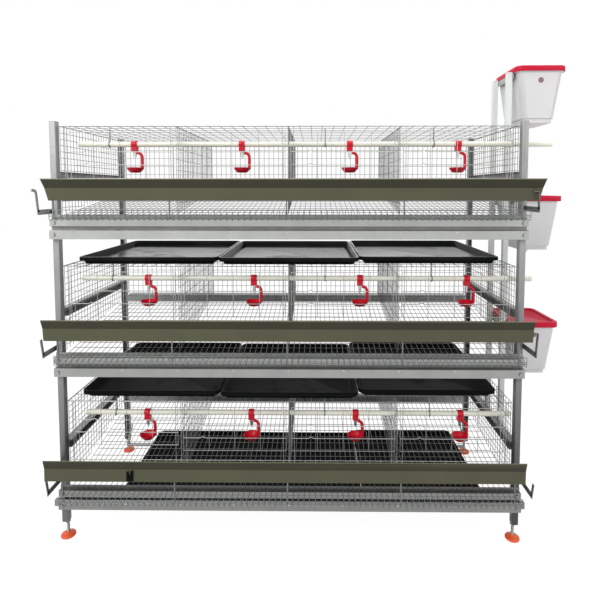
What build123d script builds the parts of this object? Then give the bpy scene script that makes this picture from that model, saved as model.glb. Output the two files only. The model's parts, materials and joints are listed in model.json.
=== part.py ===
# Three-tier battery cage for laying hens: a steel post frame with four wire cells on each tier,
# feed troughs, drinker lines, manure trays, and three header tanks on the right-hand end.
# Millimetres. +Z is up, the troughs face -Y, and the origin is the middle of the footprint on the floor.
from math import radians, tan
import os

from build123d import *

os.makedirs("parts", exist_ok=True)

# Cells and tiers
CELL_PITCH = 487.5
CELLS = 4
TIERS = 3
TIER_PITCH = 612
BOTTOM_BASE = 150
ROOF_HEIGHT = 489
FLOOR_SLOPE = 8

# Frame sections
SHEET = 2
POST_FACE = 38
POST_DEPTH = 35
POST_CLEAR = 20
FRAME_DEPTH = 740
POST_BOTTOM = 75
POST_ABOVE_ROOF = 23
BEAM_DEPTH = 25
BEAM_FACE = 38
BEAM_STRIP_BACK = 5
BEAM_STRIP_BOTTOM = 56
BEAM_STRIP_TOP = 86
REAR_BEAM_HEIGHT = 40
TIE_HEIGHT = 36
TIE_ABOVE_BASE = 258
BOLT_ACROSS_FLATS = 13
BOLT_HEAD = 5

# Nets
WIRE = 4
WELD_GAP = 0.3
FLOOR_FRONT_HEIGHT = 90
FLOOR_REACH = 128
EGG_LIP_HEIGHT = 40
FLOOR_COLUMNS = 20
FLOOR_ROWS = 4
ROOF_COLUMNS = 12
REAR_COLUMNS = 16
REAR_ROWS = 3
SIDE_COLUMNS = 5
SIDE_ROWS = 3

# Front grille and its doors
GRILLE_BOTTOM = 165
FEED_SILL = 218
GRILLE_FRONT = 6
STILE_SPACING = 49
DOOR_BOTTOM = 262
DOOR_TOP = 466
DOOR_WIRES = (322, 379)
DOOR_OVERLAP = 14
DOOR_GAP = 0.5
DOOR_STAND = 25

# Feed trough and what holds it
TROUGH_LENGTH = 2060
TROUGH_WALL = 2.5
TROUGH_MITRE = 35
TROUGH_BOTTOM = 192
TROUGH_FOLD = 244
TROUGH_LIP = 282
TROUGH_BACK_TOP = 234
TROUGH_BACK = 8
TROUGH_BOTTOM_BACK = 34
TROUGH_BOTTOM_FRONT = 117
TROUGH_FOLD_FRONT = 121
TROUGH_LIP_FRONT = 135
TROUGH_SHIFTS = (-15, 0, 25)
TROUGH_DROPS = (0, 0, 22)
BRACKET_WIDTH = 15
BRACKET_BAR = 4
BRACKET_BACK = 28
BRACKET_LOW = 108
BRACKET_TURN = 70
BRACKET_TOP = 204
BRACKET_TOP_FRONT = 108
BRACKET_CURL = 25
STAY_WIRE = 5

# Drinker line
PIPE_OUTSIDE = 24
PIPE_BORE = 20
PIPE_HEIGHTS = (396, 420, 420)
PIPE_BACK = 97
PIPE_LEFT_END = 955
PIPE_RIGHT_ENDS = (1103, 1106, 1180)
PLUG_LENGTH = 14
PIPE_FIT = 0.05
HOOK_WIRES = (1, 7, 10)
HOOK_BAR = 4
HOOK_WALL = 3
DRINKER_OFFSETS = (63, 80, 30)
SADDLE_WIDTH = 27
SADDLE_WALL = 4
SADDLE_DROP = 32
VALVE_DIAMETER = 14
VALVE_DROP = 26
PIN_DIAMETER = 5
PIN_DROP = 10
CUP_DIAMETER = 74
CUP_WALL = 2
CUP_RIM_DROP = 105
CUP_DROP = 128
CUP_FOOT_DIAMETER = 46
ARM_WIDTH = 12
ARM_THICK = 10
ARM_SIDE = 40

# Manure trays
TRAY_WIDTHS = (584, 628, 628)
TRAY_LENGTH = 680
TRAY_HEIGHT = 34
TRAY_TAPER = 14
TRAY_WALL = 3
TRAY_RIM = 8
TRAY_SPACE = 3
TRAY_FIRSTS = (-826, -945, -945)
TRAY_BACKS = (24, 12, 46)
LOW_TRAY_BACK = 26
TRAY_GAP = 0.3
RAIL_SIZE = 25
RAIL_FLANGE = 90
RAIL_TOP = 88

# Header tanks
TANK_POST = 25
TANK_POST_WALL = 2
TANK_POST_BACKS = (264, 440)
TANK_POST_BOTTOM = 396
TANK_POST_TOP = 2150
TANK_BOTTOM = 535
TANK_HEIGHT = 253
TANK_RIM_WIDTH = 230
TANK_RIM_LENGTH = 280
TANK_RIM = 17
TANK_OVERHANG = 8
TANK_TAPER_WIDTH = 62
TANK_TAPER_LENGTH = 34
TANK_STEP = 20
TANK_STEP_IN = 7
TANK_WALL = 3
TANK_CORNER = 24
TANK_BACK = 208
FLOAT_HOLE = 24
FLOAT_HOLE_DOWN = 56
OUTLET_DIAMETER = 26
OUTLET_BORE = 14
OUTLET_LENGTH = 12
OUTLET_SIDE = 30
OUTLET_FORWARD = 70
LID_WALL = 3
LID_CLEAR = 1
LID_GAP = 0.3
LID_CROWN = 6
HANGER_PLATE = 4
HANGER_HEIGHT = 26
HANGER_MARGIN = 16
HANGER_HOOK = 30

# Levelling feet
PAD_DIAMETER = 64
PAD_HEIGHT = 14
PAD_CROWN = 5
STEM_DIAMETER = 13
STEM_RISE = 30
STEM_FIT = 0.05
COLLAR_DIAMETER = 24
COLLAR_HEIGHT = 8
COLLAR_GAP = 0.3
POST_PLATE = 5

# Worked-out sizes, measured from the middle of the cells and from the posts' front faces
CAGE_HALF = CELL_PITCH * CELLS / 2
POST_INNER = CAGE_HALF + WIRE + POST_CLEAR
POST_OUTER = POST_INNER + POST_FACE
LID_WIDTH = TANK_RIM_WIDTH + 2 * (LID_CLEAR + LID_WALL)
LID_LENGTH = TANK_RIM_LENGTH + 2 * (LID_CLEAR + LID_WALL)
TANK_RIM_LEFT = POST_OUTER + TANK_POST + LID_WALL + LID_CLEAR + 2
LID_RIGHT = TANK_RIM_LEFT + TANK_RIM_WIDTH + LID_CLEAR + LID_WALL
BASES = [BOTTOM_BASE + TIER_PITCH * tier for tier in range(TIERS)]
POST_TOP = BASES[-1] + ROOF_HEIGHT + POST_ABOVE_ROOF
SLOPE = tan(radians(FLOOR_SLOPE))
REAR_NET = FRAME_DEPTH - POST_DEPTH / 2
GRILLE_BACK = GRILLE_FRONT + WIRE

FRONT_POST = POST_DEPTH / 2
REAR_POST = FRAME_DEPTH - POST_DEPTH / 2
LEFT_END = POST_OUTER + BRACKET_WIDTH
REAR_END = REAR_POST + max(POST_DEPTH, PAD_DIAMETER) / 2

# The middle of the cells and the posts' front faces, in the part's frame
CX = (LEFT_END - LID_RIGHT) / 2
FY = (TROUGH_LIP_FRONT - REAR_END) / 2


def floor_top(back):
    """Height of the wire floor above its tier's base, at a depth behind the posts' front faces."""
    return FLOOR_FRONT_HEIGHT + (back + FLOOR_REACH) * SLOPE


def gaps_in(outline, columns, rows):
    """The gaps of a flat net: an even grid of openings, cut back from the outline by one wire."""
    with BuildSketch() as inside:
        with BuildLine():
            Polyline(*outline, close=True)
        make_face()
        offset(amount=-WIRE, kind=Kind.INTERSECTION, mode=Mode.REPLACE)
    box = inside.sketch.bounding_box()
    across = (box.size.X + WIRE) / columns
    up = (box.size.Y + WIRE) / rows
    with BuildSketch() as gaps:
        with Locations(box.center()):
            with GridLocations(across, up, columns, rows):
                Rectangle(across - WIRE, up - WIRE)
        add(inside.sketch, mode=Mode.INTERSECT)
    return gaps.sketch


def flat_net(outline, columns, rows):
    """A flat net's holed face, drawn to an outline."""
    gaps = gaps_in(outline, columns, rows)
    with BuildSketch() as net:
        with BuildLine():
            Polyline(*outline, close=True)
        make_face()
        add(gaps, mode=Mode.SUBTRACT)
    return net.sketch


def bent_sheet(points, thickness, side):
    """A folded sheet's section, drawn along one face of the sheet."""
    with BuildSketch() as section:
        with BuildLine():
            Polyline(*points)
            offset(amount=thickness, side=side, kind=Kind.INTERSECTION)
        make_face()
    return section.sketch


def save(piece, name):
    """Label a finished piece and write it."""
    piece.part.label = name
    export_step(piece.part, f"parts/{name}.step")


# Posts: folded channels with their webs outward and a foot plate across the bottom
def make_post(side, back, web_out):
    """One post, with its web at the front or the rear of the frame."""
    middle = CX + side * (POST_INNER + POST_FACE / 2)
    with BuildPart() as post:
        with BuildSketch(Plane.XY.offset(POST_BOTTOM)):
            with Locations((middle, FY + back)):
                Rectangle(POST_FACE, POST_DEPTH)
            with Locations((middle, FY + back - web_out * SHEET)):
                Rectangle(POST_FACE - 2 * SHEET, POST_DEPTH, mode=Mode.SUBTRACT)
        extrude(amount=POST_TOP - POST_BOTTOM)
        with BuildSketch(Plane.XY.offset(POST_BOTTOM)):
            with Locations((middle, FY + back)):
                Rectangle(POST_FACE, POST_DEPTH)
                Circle(STEM_DIAMETER / 2 + STEM_FIT, mode=Mode.SUBTRACT)
        extrude(amount=POST_PLATE)
    return post


CORNERS = {
    "front_left": (-1, FRONT_POST, -1),
    "front_right": (1, FRONT_POST, -1),
    "rear_left": (-1, REAR_POST, 1),
    "rear_right": (1, REAR_POST, 1),
}
for corner, (side, back, web_out) in CORNERS.items():
    save(make_post(side, back, web_out), f"post_{corner}")

# Front beams: a folded section with a lower face, a groove, an upper strip and a tongue under the floor
BEAM_PLANE = Plane.YZ.offset(CX - POST_OUTER)
BEAM_SECTION = [
    (0, 0),
    (-BEAM_DEPTH, 0),
    (-BEAM_DEPTH, BEAM_FACE),
    (-2 * SHEET, BEAM_FACE + SHEET),
    (-2 * SHEET, BEAM_STRIP_BOTTOM - SHEET),
    (BEAM_STRIP_BACK - BEAM_DEPTH, BEAM_STRIP_BOTTOM),
    (BEAM_STRIP_BACK - BEAM_DEPTH, BEAM_STRIP_TOP),
    (-SHEET, BEAM_STRIP_TOP),
    (-SHEET, floor_top(-SHEET) - WIRE - 2 * WELD_GAP),
]
with BuildPart() as front_beams:
    for base in BASES:
        with BuildSketch(BEAM_PLANE):
            add(bent_sheet([(FY + y, base + z) for y, z in BEAM_SECTION], SHEET, Side.RIGHT))
        extrude(amount=2 * POST_OUTER)
save(front_beams, "front_beams")

# Rear beams: channels between the rear posts, under the rear edge of each floor
with BuildPart() as rear_beams:
    for base in BASES:
        top = base + floor_top(FRAME_DEPTH - POST_DEPTH) - WIRE - 2 * WELD_GAP
        with BuildSketch(Plane.YZ.offset(CX - POST_INNER)):
            with Locations((FY + REAR_POST, top - REAR_BEAM_HEIGHT / 2)):
                Rectangle(POST_DEPTH, REAR_BEAM_HEIGHT)
            with Locations((FY + REAR_POST + SHEET, top - REAR_BEAM_HEIGHT / 2)):
                Rectangle(POST_DEPTH, REAR_BEAM_HEIGHT - 2 * SHEET, mode=Mode.SUBTRACT)
        extrude(amount=2 * POST_INNER)
save(rear_beams, "rear_beams")

# End ties: the cross bars of each end frame, channels from front post to rear post
with BuildPart() as end_ties:
    for base in BASES:
        for side in (-1, 1):
            middle = CX + side * (POST_INNER + POST_FACE / 2)
            height = base + TIE_ABOVE_BASE + TIE_HEIGHT / 2
            with BuildSketch(Plane.XZ.offset(-(FY + POST_DEPTH))):
                with Locations((middle, height)):
                    Rectangle(POST_FACE, TIE_HEIGHT)
                with Locations((middle - side * SHEET, height)):
                    Rectangle(POST_FACE, TIE_HEIGHT - 2 * SHEET, mode=Mode.SUBTRACT)
            extrude(amount=-(FRAME_DEPTH - 2 * POST_DEPTH))
save(end_ties, "end_ties")

# Tray rails: two angles across the frame that carry the lowest trays
with BuildPart() as tray_rails:
    for back, arm in ((POST_DEPTH / 2, 1), (FRAME_DEPTH - POST_DEPTH / 2, -1)):
        y = FY + back
        angle = [
            (y, RAIL_TOP - RAIL_SIZE),
            (y, RAIL_TOP),
            (y + arm * RAIL_FLANGE, RAIL_TOP),
        ]
        with BuildSketch(Plane.YZ.offset(CX - POST_INNER)):
            add(bent_sheet(angle, SHEET, Side.RIGHT if arm > 0 else Side.LEFT))
        extrude(amount=2 * POST_INNER)
save(tray_rails, "tray_rails")

# Bolts: hexagon heads that hold the beams to the front posts
with BuildPart() as beam_bolts:
    for base in BASES:
        for side in (-1, 1):
            middle = CX + side * (POST_INNER + POST_FACE / 2)
            with BuildSketch(Plane.XZ.offset(BEAM_DEPTH - FY)):
                with Locations((middle, base + BEAM_FACE / 2)):
                    RegularPolygon(BOLT_ACROSS_FLATS / 2, 6, major_radius=False)
            extrude(amount=BOLT_HEAD)
            with BuildSketch(Plane.XZ.offset(BEAM_DEPTH - BEAM_STRIP_BACK - FY)):
                with Locations((middle, base + (BEAM_STRIP_BOTTOM + BEAM_STRIP_TOP) / 2)):
                    RegularPolygon(BOLT_ACROSS_FLATS / 2, 6, major_radius=False)
            extrude(amount=BOLT_HEAD)
save(beam_bolts, "beam_bolts")

# Wire floors: each slopes down to the front, runs out under the trough and turns up to stop the eggs
with BuildPart() as floor_nets:
    for base in BASES:
        front = FY - FLOOR_REACH
        run = (REAR_NET + FLOOR_REACH) * (1 + SLOPE**2) ** 0.5
        floor_plane = Plane(
            origin=(CX, front, base + FLOOR_FRONT_HEIGHT),
            x_dir=(1, 0, 0),
            z_dir=(0, -SLOPE, 1),
        )
        sheet = [(-CAGE_HALF, 0), (CAGE_HALF, 0), (CAGE_HALF, run), (-CAGE_HALF, run)]
        with BuildSketch(floor_plane.offset(-WIRE)):
            add(flat_net(sheet, FLOOR_COLUMNS, FLOOR_ROWS))
        extrude(amount=WIRE)
        low = base + FLOOR_FRONT_HEIGHT - WIRE
        high = base + FLOOR_FRONT_HEIGHT + EGG_LIP_HEIGHT
        lip = [(CX - CAGE_HALF, low), (CX + CAGE_HALF, low), (CX + CAGE_HALF, high), (CX - CAGE_HALF, high)]
        with BuildSketch(Plane.XZ.offset(WELD_GAP - front)):
            add(flat_net(lip, FLOOR_COLUMNS, 1))
        extrude(amount=WIRE)
save(floor_nets, "floor_nets")

# Roofs: plain sheets in place of the wire nets that carry the trays of the tier above
with BuildPart() as roof_nets:
    for base in BASES:
        roof = [
            (CX - CAGE_HALF - WIRE, FY + GRILLE_FRONT),
            (CX + CAGE_HALF + WIRE, FY + GRILLE_FRONT),
            (CX + CAGE_HALF + WIRE, FY + REAR_NET),
            (CX - CAGE_HALF - WIRE, FY + REAR_NET),
        ]
        with BuildSketch(Plane.XY.offset(base + ROOF_HEIGHT)):
            with BuildLine():
                Polyline(*roof, close=True)
            make_face()
        extrude(amount=WIRE)
save(roof_nets, "roof_nets")

# Rear nets: the back wall of each tier
with BuildPart() as rear_nets:
    for base in BASES:
        low = base + floor_top(REAR_NET) + WELD_GAP
        high = base + ROOF_HEIGHT
        wall = [(CX - CAGE_HALF, low), (CX + CAGE_HALF, low), (CX + CAGE_HALF, high), (CX - CAGE_HALF, high)]
        with BuildSketch(Plane.XZ.offset(-(FY + REAR_NET))):
            add(flat_net(wall, REAR_COLUMNS, REAR_ROWS))
        extrude(amount=WIRE)
save(rear_nets, "rear_nets")


def side_outline(base):
    """An upright net's outline across the cage: level on top and sloped along the floor."""
    front = GRILLE_BACK + WELD_GAP
    rear = REAR_NET - WIRE - WELD_GAP
    return [
        (FY + front, base + floor_top(front) + WELD_GAP),
        (FY + rear, base + floor_top(rear) + WELD_GAP),
        (FY + rear, base + ROOF_HEIGHT),
        (FY + front, base + ROOF_HEIGHT),
    ]


# End nets: the outer side walls
with BuildPart() as end_nets:
    for base in BASES:
        for inner in (CX - CAGE_HALF - WIRE, CX + CAGE_HALF):
            with BuildSketch(Plane.YZ.offset(inner)):
                add(flat_net(side_outline(base), SIDE_COLUMNS, SIDE_ROWS))
            extrude(amount=WIRE)
save(end_nets, "end_nets")

# Partition nets: the walls between cells
with BuildPart() as partition_nets:
    for base in BASES:
        for wall in range(1, CELLS):
            x = CX - CAGE_HALF + wall * CELL_PITCH - WIRE / 2
            with BuildSketch(Plane.YZ.offset(x)):
                add(flat_net(side_outline(base), SIDE_COLUMNS, SIDE_ROWS))
            extrude(amount=WIRE)
save(partition_nets, "partition_nets")

# Front grilles: a sill band and pairs of stiles beside each wall, open between them up to the roof
GRILLE_PLANE = Plane.XZ.offset(-(FY + GRILLE_BACK))
STILE_LOW = FEED_SILL + WELD_GAP
with BuildPart() as front_grilles:
    for base in BASES:
        band = [
            (CX - CAGE_HALF - WIRE, base + GRILLE_BOTTOM),
            (CX + CAGE_HALF + WIRE, base + GRILLE_BOTTOM),
            (CX + CAGE_HALF + WIRE, base + FEED_SILL),
            (CX - CAGE_HALF - WIRE, base + FEED_SILL),
        ]
        with BuildSketch(GRILLE_PLANE):
            add(flat_net(band, 2 * CELLS, 1))
        extrude(amount=WIRE)
        for wall in range(CELLS + 1):
            x = CX - CAGE_HALF + wall * CELL_PITCH
            left = x - (STILE_SPACING / 2 if wall > 0 else WIRE)
            right = x + (STILE_SPACING / 2 if wall < CELLS else WIRE)
            stile = [
                (left, base + STILE_LOW),
                (right, base + STILE_LOW),
                (right, base + ROOF_HEIGHT),
                (left, base + ROOF_HEIGHT),
            ]
            with BuildSketch(GRILLE_PLANE):
                add(flat_net(stile, 1, 4))
            extrude(amount=WIRE)
save(front_grilles, "front_grilles")


# Doors: four-wire gates that lift along the stiles to the roof, one to a cell
def make_door(tier, cell):
    """One gate in front of its opening; the first gate of the lowest tier stands part-raised."""
    raised = DOOR_STAND if tier == 0 and cell == 0 else 0
    middle = CX + (cell - (CELLS - 1) / 2) * CELL_PITCH
    half = (CELL_PITCH - STILE_SPACING) / 2 + DOOR_OVERLAP
    low = BASES[tier] + DOOR_BOTTOM + raised
    high = BASES[tier] + DOOR_TOP + raised
    gate = [(middle - half, low), (middle + half, low), (middle + half, high), (middle - half, high)]
    with BuildPart() as door:
        with BuildSketch(Plane.XZ.offset(DOOR_GAP - FY - GRILLE_FRONT)):
            add(flat_net(gate, 2, 1))
            for height in DOOR_WIRES:
                with Locations((middle, BASES[tier] + height + raised)):
                    Rectangle(2 * half, WIRE)
        extrude(amount=WIRE)
    return door


for tier in range(TIERS):
    for cell in range(CELLS):
        save(make_door(tier, cell), f"door_{tier + 1}_{cell + 1}")

# Feed troughs: a folded channel with a flared front lip and closed ends
TROUGH_SECTION = [
    (-TROUGH_BACK, TROUGH_BACK_TOP),
    (-TROUGH_BOTTOM_BACK, TROUGH_BOTTOM),
    (-TROUGH_BOTTOM_FRONT, TROUGH_BOTTOM),
    (-TROUGH_FOLD_FRONT, TROUGH_FOLD),
    (-TROUGH_LIP_FRONT, TROUGH_LIP),
]


def make_trough(tier):
    """One trough: a folded sheet whose ends slant out, so that it is longest along its lip."""
    bottom = BASES[tier] - TROUGH_DROPS[tier]
    middle = CX + TROUGH_SHIFTS[tier]
    left = middle - TROUGH_LENGTH / 2
    outer = [(FY + y, bottom + z) for y, z in TROUGH_SECTION]
    low = bottom + TROUGH_BOTTOM - TROUGH_WALL
    high = bottom + TROUGH_LIP + TROUGH_WALL
    lean = TROUGH_MITRE / (TROUGH_LIP - TROUGH_BOTTOM)
    wide = TROUGH_LENGTH / 2 + lean * TROUGH_WALL
    narrow = wide - lean * (high - low)
    front = Plane.XZ.offset(-FY)
    with BuildPart() as caps:
        with BuildSketch(Plane.YZ.offset(left)):
            with BuildLine():
                Polyline(*outer[:4], close=True)
            make_face()
        extrude(amount=TROUGH_LENGTH)
        with BuildSketch(front):
            for side in (-1, 1):
                top = middle + side * wide
                foot = middle + side * narrow
                inward = -side * TROUGH_WALL
                with BuildLine():
                    Polyline((foot, low), (top, high), (top + inward, high), (foot + inward, low), close=True)
                make_face()
        extrude(amount=TROUGH_LIP_FRONT + TROUGH_WALL, mode=Mode.INTERSECT)
    with BuildPart() as trough:
        with BuildSketch(Plane.YZ.offset(left)):
            add(bent_sheet(outer, TROUGH_WALL, Side.RIGHT))
        extrude(amount=TROUGH_LENGTH)
        with BuildSketch(front):
            with BuildLine():
                Polyline(
                    (middle - narrow, low),
                    (middle + narrow, low),
                    (middle + wide, high),
                    (middle - wide, high),
                    close=True,
                )
            make_face()
        extrude(amount=TROUGH_LIP_FRONT + TROUGH_WALL, mode=Mode.INTERSECT)
        add(caps.part)
    return trough


for tier in range(TIERS):
    save(make_trough(tier), f"feed_trough_{tier + 1}")

# Trough brackets: flat-bar hooks on the outer sides of the front posts, bent up below the trough's ends
BRACKET_SECTION = [
    (BRACKET_BACK, BRACKET_LOW),
    (-BRACKET_TURN, BRACKET_LOW),
    (-BRACKET_TOP_FRONT, BRACKET_TOP),
    (-BRACKET_TOP_FRONT - BRACKET_CURL, BRACKET_TOP),
]
with BuildPart() as trough_brackets:
    for base in BASES:
        section = [(FY + y, base + z) for y, z in BRACKET_SECTION]
        for start in (CX - POST_OUTER - BRACKET_WIDTH, CX + POST_OUTER):
            with BuildSketch(Plane.YZ.offset(start)):
                add(bent_sheet(section, BRACKET_BAR, Side.RIGHT))
            extrude(amount=BRACKET_WIDTH)
save(trough_brackets, "trough_brackets")

# Trough stays: short wires that stand on the floor under each wall and carry the trough
STAY_BACK = -TROUGH_BOTTOM_FRONT + 2 * STAY_WIRE
with BuildPart() as trough_stays:
    for base, drop in zip(BASES, TROUGH_DROPS):
        foot = base + floor_top(STAY_BACK) + STAY_WIRE * SLOPE
        with BuildSketch(Plane.XY.offset(foot)):
            for wall in range(CELLS + 1):
                x = CX + (CAGE_HALF - STAY_WIRE) * (2 * wall / CELLS - 1)
                with Locations((x, FY + STAY_BACK)):
                    Rectangle(STAY_WIRE, STAY_WIRE)
        extrude(amount=base - drop + TROUGH_BOTTOM - foot)
save(trough_stays, "trough_stays")


# Water pipes: one to a tier, plugged on the left and open on the right
def make_pipe(height, right_end):
    """One drinker pipe with its plug."""
    left = CX - PIPE_LEFT_END
    with BuildPart() as pipe:
        with BuildSketch(Plane.YZ.offset(left)):
            with Locations((FY + PIPE_BACK, height)):
                Circle(PIPE_OUTSIDE / 2)
        extrude(amount=PIPE_LEFT_END + right_end)
        with BuildSketch(Plane.YZ.offset(left + PLUG_LENGTH)):
            with Locations((FY + PIPE_BACK, height)):
                Circle(PIPE_BORE / 2)
        extrude(amount=PIPE_LEFT_END + right_end - PLUG_LENGTH, mode=Mode.SUBTRACT)
    return pipe


PIPES = [base + height for base, height in zip(BASES, PIPE_HEIGHTS)]
for tier, height in enumerate(PIPES):
    save(make_pipe(height, PIPE_RIGHT_ENDS[tier]), f"water_pipe_{tier + 1}")

# Pipe hooks: straps that ring the pipe and hang from three of the roof's cross wires
ROOF_PITCH = (2 * CAGE_HALF + WIRE) / ROOF_COLUMNS
HOOK_PLACES = [wire * ROOF_PITCH - CAGE_HALF - WIRE / 2 for wire in HOOK_WIRES]
with BuildPart() as pipe_hooks:
    for base, height in zip(BASES, PIPES):
        ring = PIPE_OUTSIDE / 2 + PIPE_FIT
        top = base + ROOF_HEIGHT
        for place in HOOK_PLACES:
            with BuildSketch(Plane.YZ.offset(CX + place - HOOK_BAR / 2)):
                with Locations((FY + PIPE_BACK, (height + top) / 2)):
                    Rectangle(2 * HOOK_WALL, top - height)
                with Locations((FY + PIPE_BACK, height)):
                    Circle(ring + HOOK_WALL)
                    Circle(ring, mode=Mode.SUBTRACT)
            extrude(amount=HOOK_BAR)
save(pipe_hooks, "pipe_hooks")

# Drinkers: a saddle on the pipe, a nipple valve below it, and a cup on an arm to the right
DRINKERS = [
    (CX + (cell - (CELLS - 1) / 2) * CELL_PITCH + offset_right, height)
    for height, offset_right in zip(PIPES, DRINKER_OFFSETS)
    for cell in range(CELLS)
]
PIPE_Y = FY + PIPE_BACK
with BuildPart() as drinker_saddles:
    for place, height in DRINKERS:
        with BuildSketch(Plane.YZ.offset(place - SADDLE_WIDTH / 2)):
            with Locations((PIPE_Y, height)):
                Circle(PIPE_OUTSIDE / 2 + PIPE_FIT + SADDLE_WALL)
            with Locations((PIPE_Y, height - SADDLE_DROP / 2)):
                Rectangle(PIPE_OUTSIDE, SADDLE_DROP)
            with Locations((PIPE_Y, height)):
                Circle(PIPE_OUTSIDE / 2 + PIPE_FIT, mode=Mode.SUBTRACT)
        extrude(amount=SADDLE_WIDTH)
save(drinker_saddles, "drinker_saddles")

with BuildPart() as nipple_valves:
    for place, height in DRINKERS:
        under = height - SADDLE_DROP
        with BuildSketch(Plane.XY.offset(under)):
            with Locations((place, PIPE_Y)):
                Circle(VALVE_DIAMETER / 2)
        extrude(amount=-VALVE_DROP)
        with BuildSketch(Plane.XY.offset(under - VALVE_DROP)):
            with Locations((place, PIPE_Y)):
                Circle(PIN_DIAMETER / 2)
        extrude(amount=-PIN_DROP)
save(nipple_valves, "nipple_valves")

CUP_SECTION = [
    (0, -CUP_DROP),
    (CUP_FOOT_DIAMETER / 2, -CUP_DROP),
    (CUP_DIAMETER / 2, -CUP_RIM_DROP),
    (CUP_DIAMETER / 2 - CUP_WALL, -CUP_RIM_DROP),
    (CUP_FOOT_DIAMETER / 2 - CUP_WALL, CUP_WALL - CUP_DROP),
    (0, CUP_WALL - CUP_DROP),
]
CUP_ARM = [
    (VALVE_DIAMETER / 2 + WELD_GAP, -SADDLE_DROP - WELD_GAP),
    (ARM_SIDE, -SADDLE_DROP - WELD_GAP),
    (CUP_DIAMETER / 2 - CUP_WALL, -CUP_RIM_DROP - ARM_WIDTH / 2),
]
with BuildPart() as drinker_cups:
    for place, height in DRINKERS:
        cup_plane = Plane(origin=(place, PIPE_Y, height), x_dir=(1, 0, 0), z_dir=(0, -1, 0))
        with BuildSketch(cup_plane):
            with BuildLine():
                Polyline(*CUP_SECTION, close=True)
            make_face()
        revolve(axis=Axis(cup_plane.origin, (0, 0, 1)))
        with BuildSketch(cup_plane.offset(-ARM_WIDTH / 2)):
            add(bent_sheet(CUP_ARM, ARM_THICK, Side.RIGHT))
        extrude(amount=ARM_WIDTH)
save(drinker_cups, "drinker_cups")


# Manure trays: shallow tapered pans with a flat rim
def make_tray(left, back, bottom, rim_width):
    """One tray, with its front edge at a depth behind the posts' front faces."""
    middle = (CX + left + rim_width / 2, FY + back + TRAY_LENGTH / 2)
    width = rim_width - 2 * TRAY_RIM
    length = TRAY_LENGTH - 2 * TRAY_RIM
    with BuildPart() as tray:
        for height, shrink in ((bottom, TRAY_TAPER), (bottom + TRAY_HEIGHT, 0)):
            with BuildSketch(Plane.XY.offset(height)):
                with Locations(middle):
                    Rectangle(width - 2 * shrink, length - 2 * shrink)
        loft()
        offset(amount=-TRAY_WALL, openings=tray.faces().sort_by(Axis.Z)[-1:])
        with BuildSketch(Plane.XY.offset(bottom + TRAY_HEIGHT - TRAY_WALL)):
            with Locations(middle):
                Rectangle(rim_width, TRAY_LENGTH)
                Rectangle(width - 2 * TRAY_WALL, length - 2 * TRAY_WALL, mode=Mode.SUBTRACT)
        extrude(amount=TRAY_WALL)
    return tray


TRAY_LEVELS = [RAIL_TOP] + [base + ROOF_HEIGHT + WIRE for base in BASES[:-1]]
for level, height in enumerate(TRAY_LEVELS):
    for place, tray_back in enumerate(TRAY_BACKS):
        back = tray_back + (LOW_TRAY_BACK if level == 0 else 0)
        width = TRAY_WIDTHS[level]
        left = TRAY_FIRSTS[level] + place * (width + TRAY_SPACE)
        tray = make_tray(left, back, height + TRAY_GAP, width)
        save(tray, f"manure_tray_{level + 1}_{place + 1}")

# Tank posts: two square tubes bolted to the right-hand end ties
TANK_POST_MIDDLE = CX + POST_OUTER + TANK_POST / 2
with BuildPart() as tank_posts:
    with BuildSketch(Plane.XY.offset(TANK_POST_BOTTOM)):
        with Locations(*[(TANK_POST_MIDDLE, FY + back) for back in TANK_POST_BACKS]):
            Rectangle(TANK_POST, TANK_POST)
            inner = TANK_POST - 2 * TANK_POST_WALL
            Rectangle(inner, inner, mode=Mode.SUBTRACT)
    extrude(amount=TANK_POST_TOP - TANK_POST_BOTTOM)
save(tank_posts, "tank_posts")

# Tank hangers: a plate across the posts with two hooks under the tank's rim
HANGER_LEFT = CX + POST_OUTER + TANK_POST
HANGER_MIDDLE = FY + sum(TANK_POST_BACKS) / 2
HANGER_LENGTH = TANK_POST_BACKS[1] - TANK_POST_BACKS[0] + 2 * HANGER_MARGIN
HOOK_REACH = TANK_RIM_LEFT + TANK_OVERHANG - WELD_GAP - POST_OUTER - TANK_POST
with BuildPart() as tank_hangers:
    for base in BASES:
        top = base + TANK_BOTTOM + TANK_HEIGHT - TANK_RIM
        with BuildSketch(Plane.XY.offset(top)):
            with Locations((HANGER_LEFT + HANGER_PLATE / 2, HANGER_MIDDLE)):
                Rectangle(HANGER_PLATE, HANGER_LENGTH)
        extrude(amount=-HANGER_HEIGHT)
        with BuildSketch(Plane.XY.offset(top)):
            with Locations(*[(HANGER_LEFT + HOOK_REACH / 2, FY + back) for back in TANK_POST_BACKS]):
                Rectangle(HOOK_REACH, HANGER_HOOK)
        extrude(amount=-HANGER_PLATE)
save(tank_hangers, "tank_hangers")

# Header tanks: tapered, open at the top, with a rolled rim, a stepped base and an outlet below
TANK_MIDDLE = (CX + TANK_RIM_LEFT + TANK_RIM_WIDTH / 2, FY + TANK_BACK + TANK_RIM_LENGTH / 2)
TANK_TOP_WIDTH = TANK_RIM_WIDTH - 2 * TANK_OVERHANG
TANK_TOP_LENGTH = TANK_RIM_LENGTH - 2 * TANK_OVERHANG
TANK_LOW_WIDTH = TANK_TOP_WIDTH - TANK_TAPER_WIDTH
TANK_LOW_LENGTH = TANK_TOP_LENGTH - TANK_TAPER_LENGTH


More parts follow.
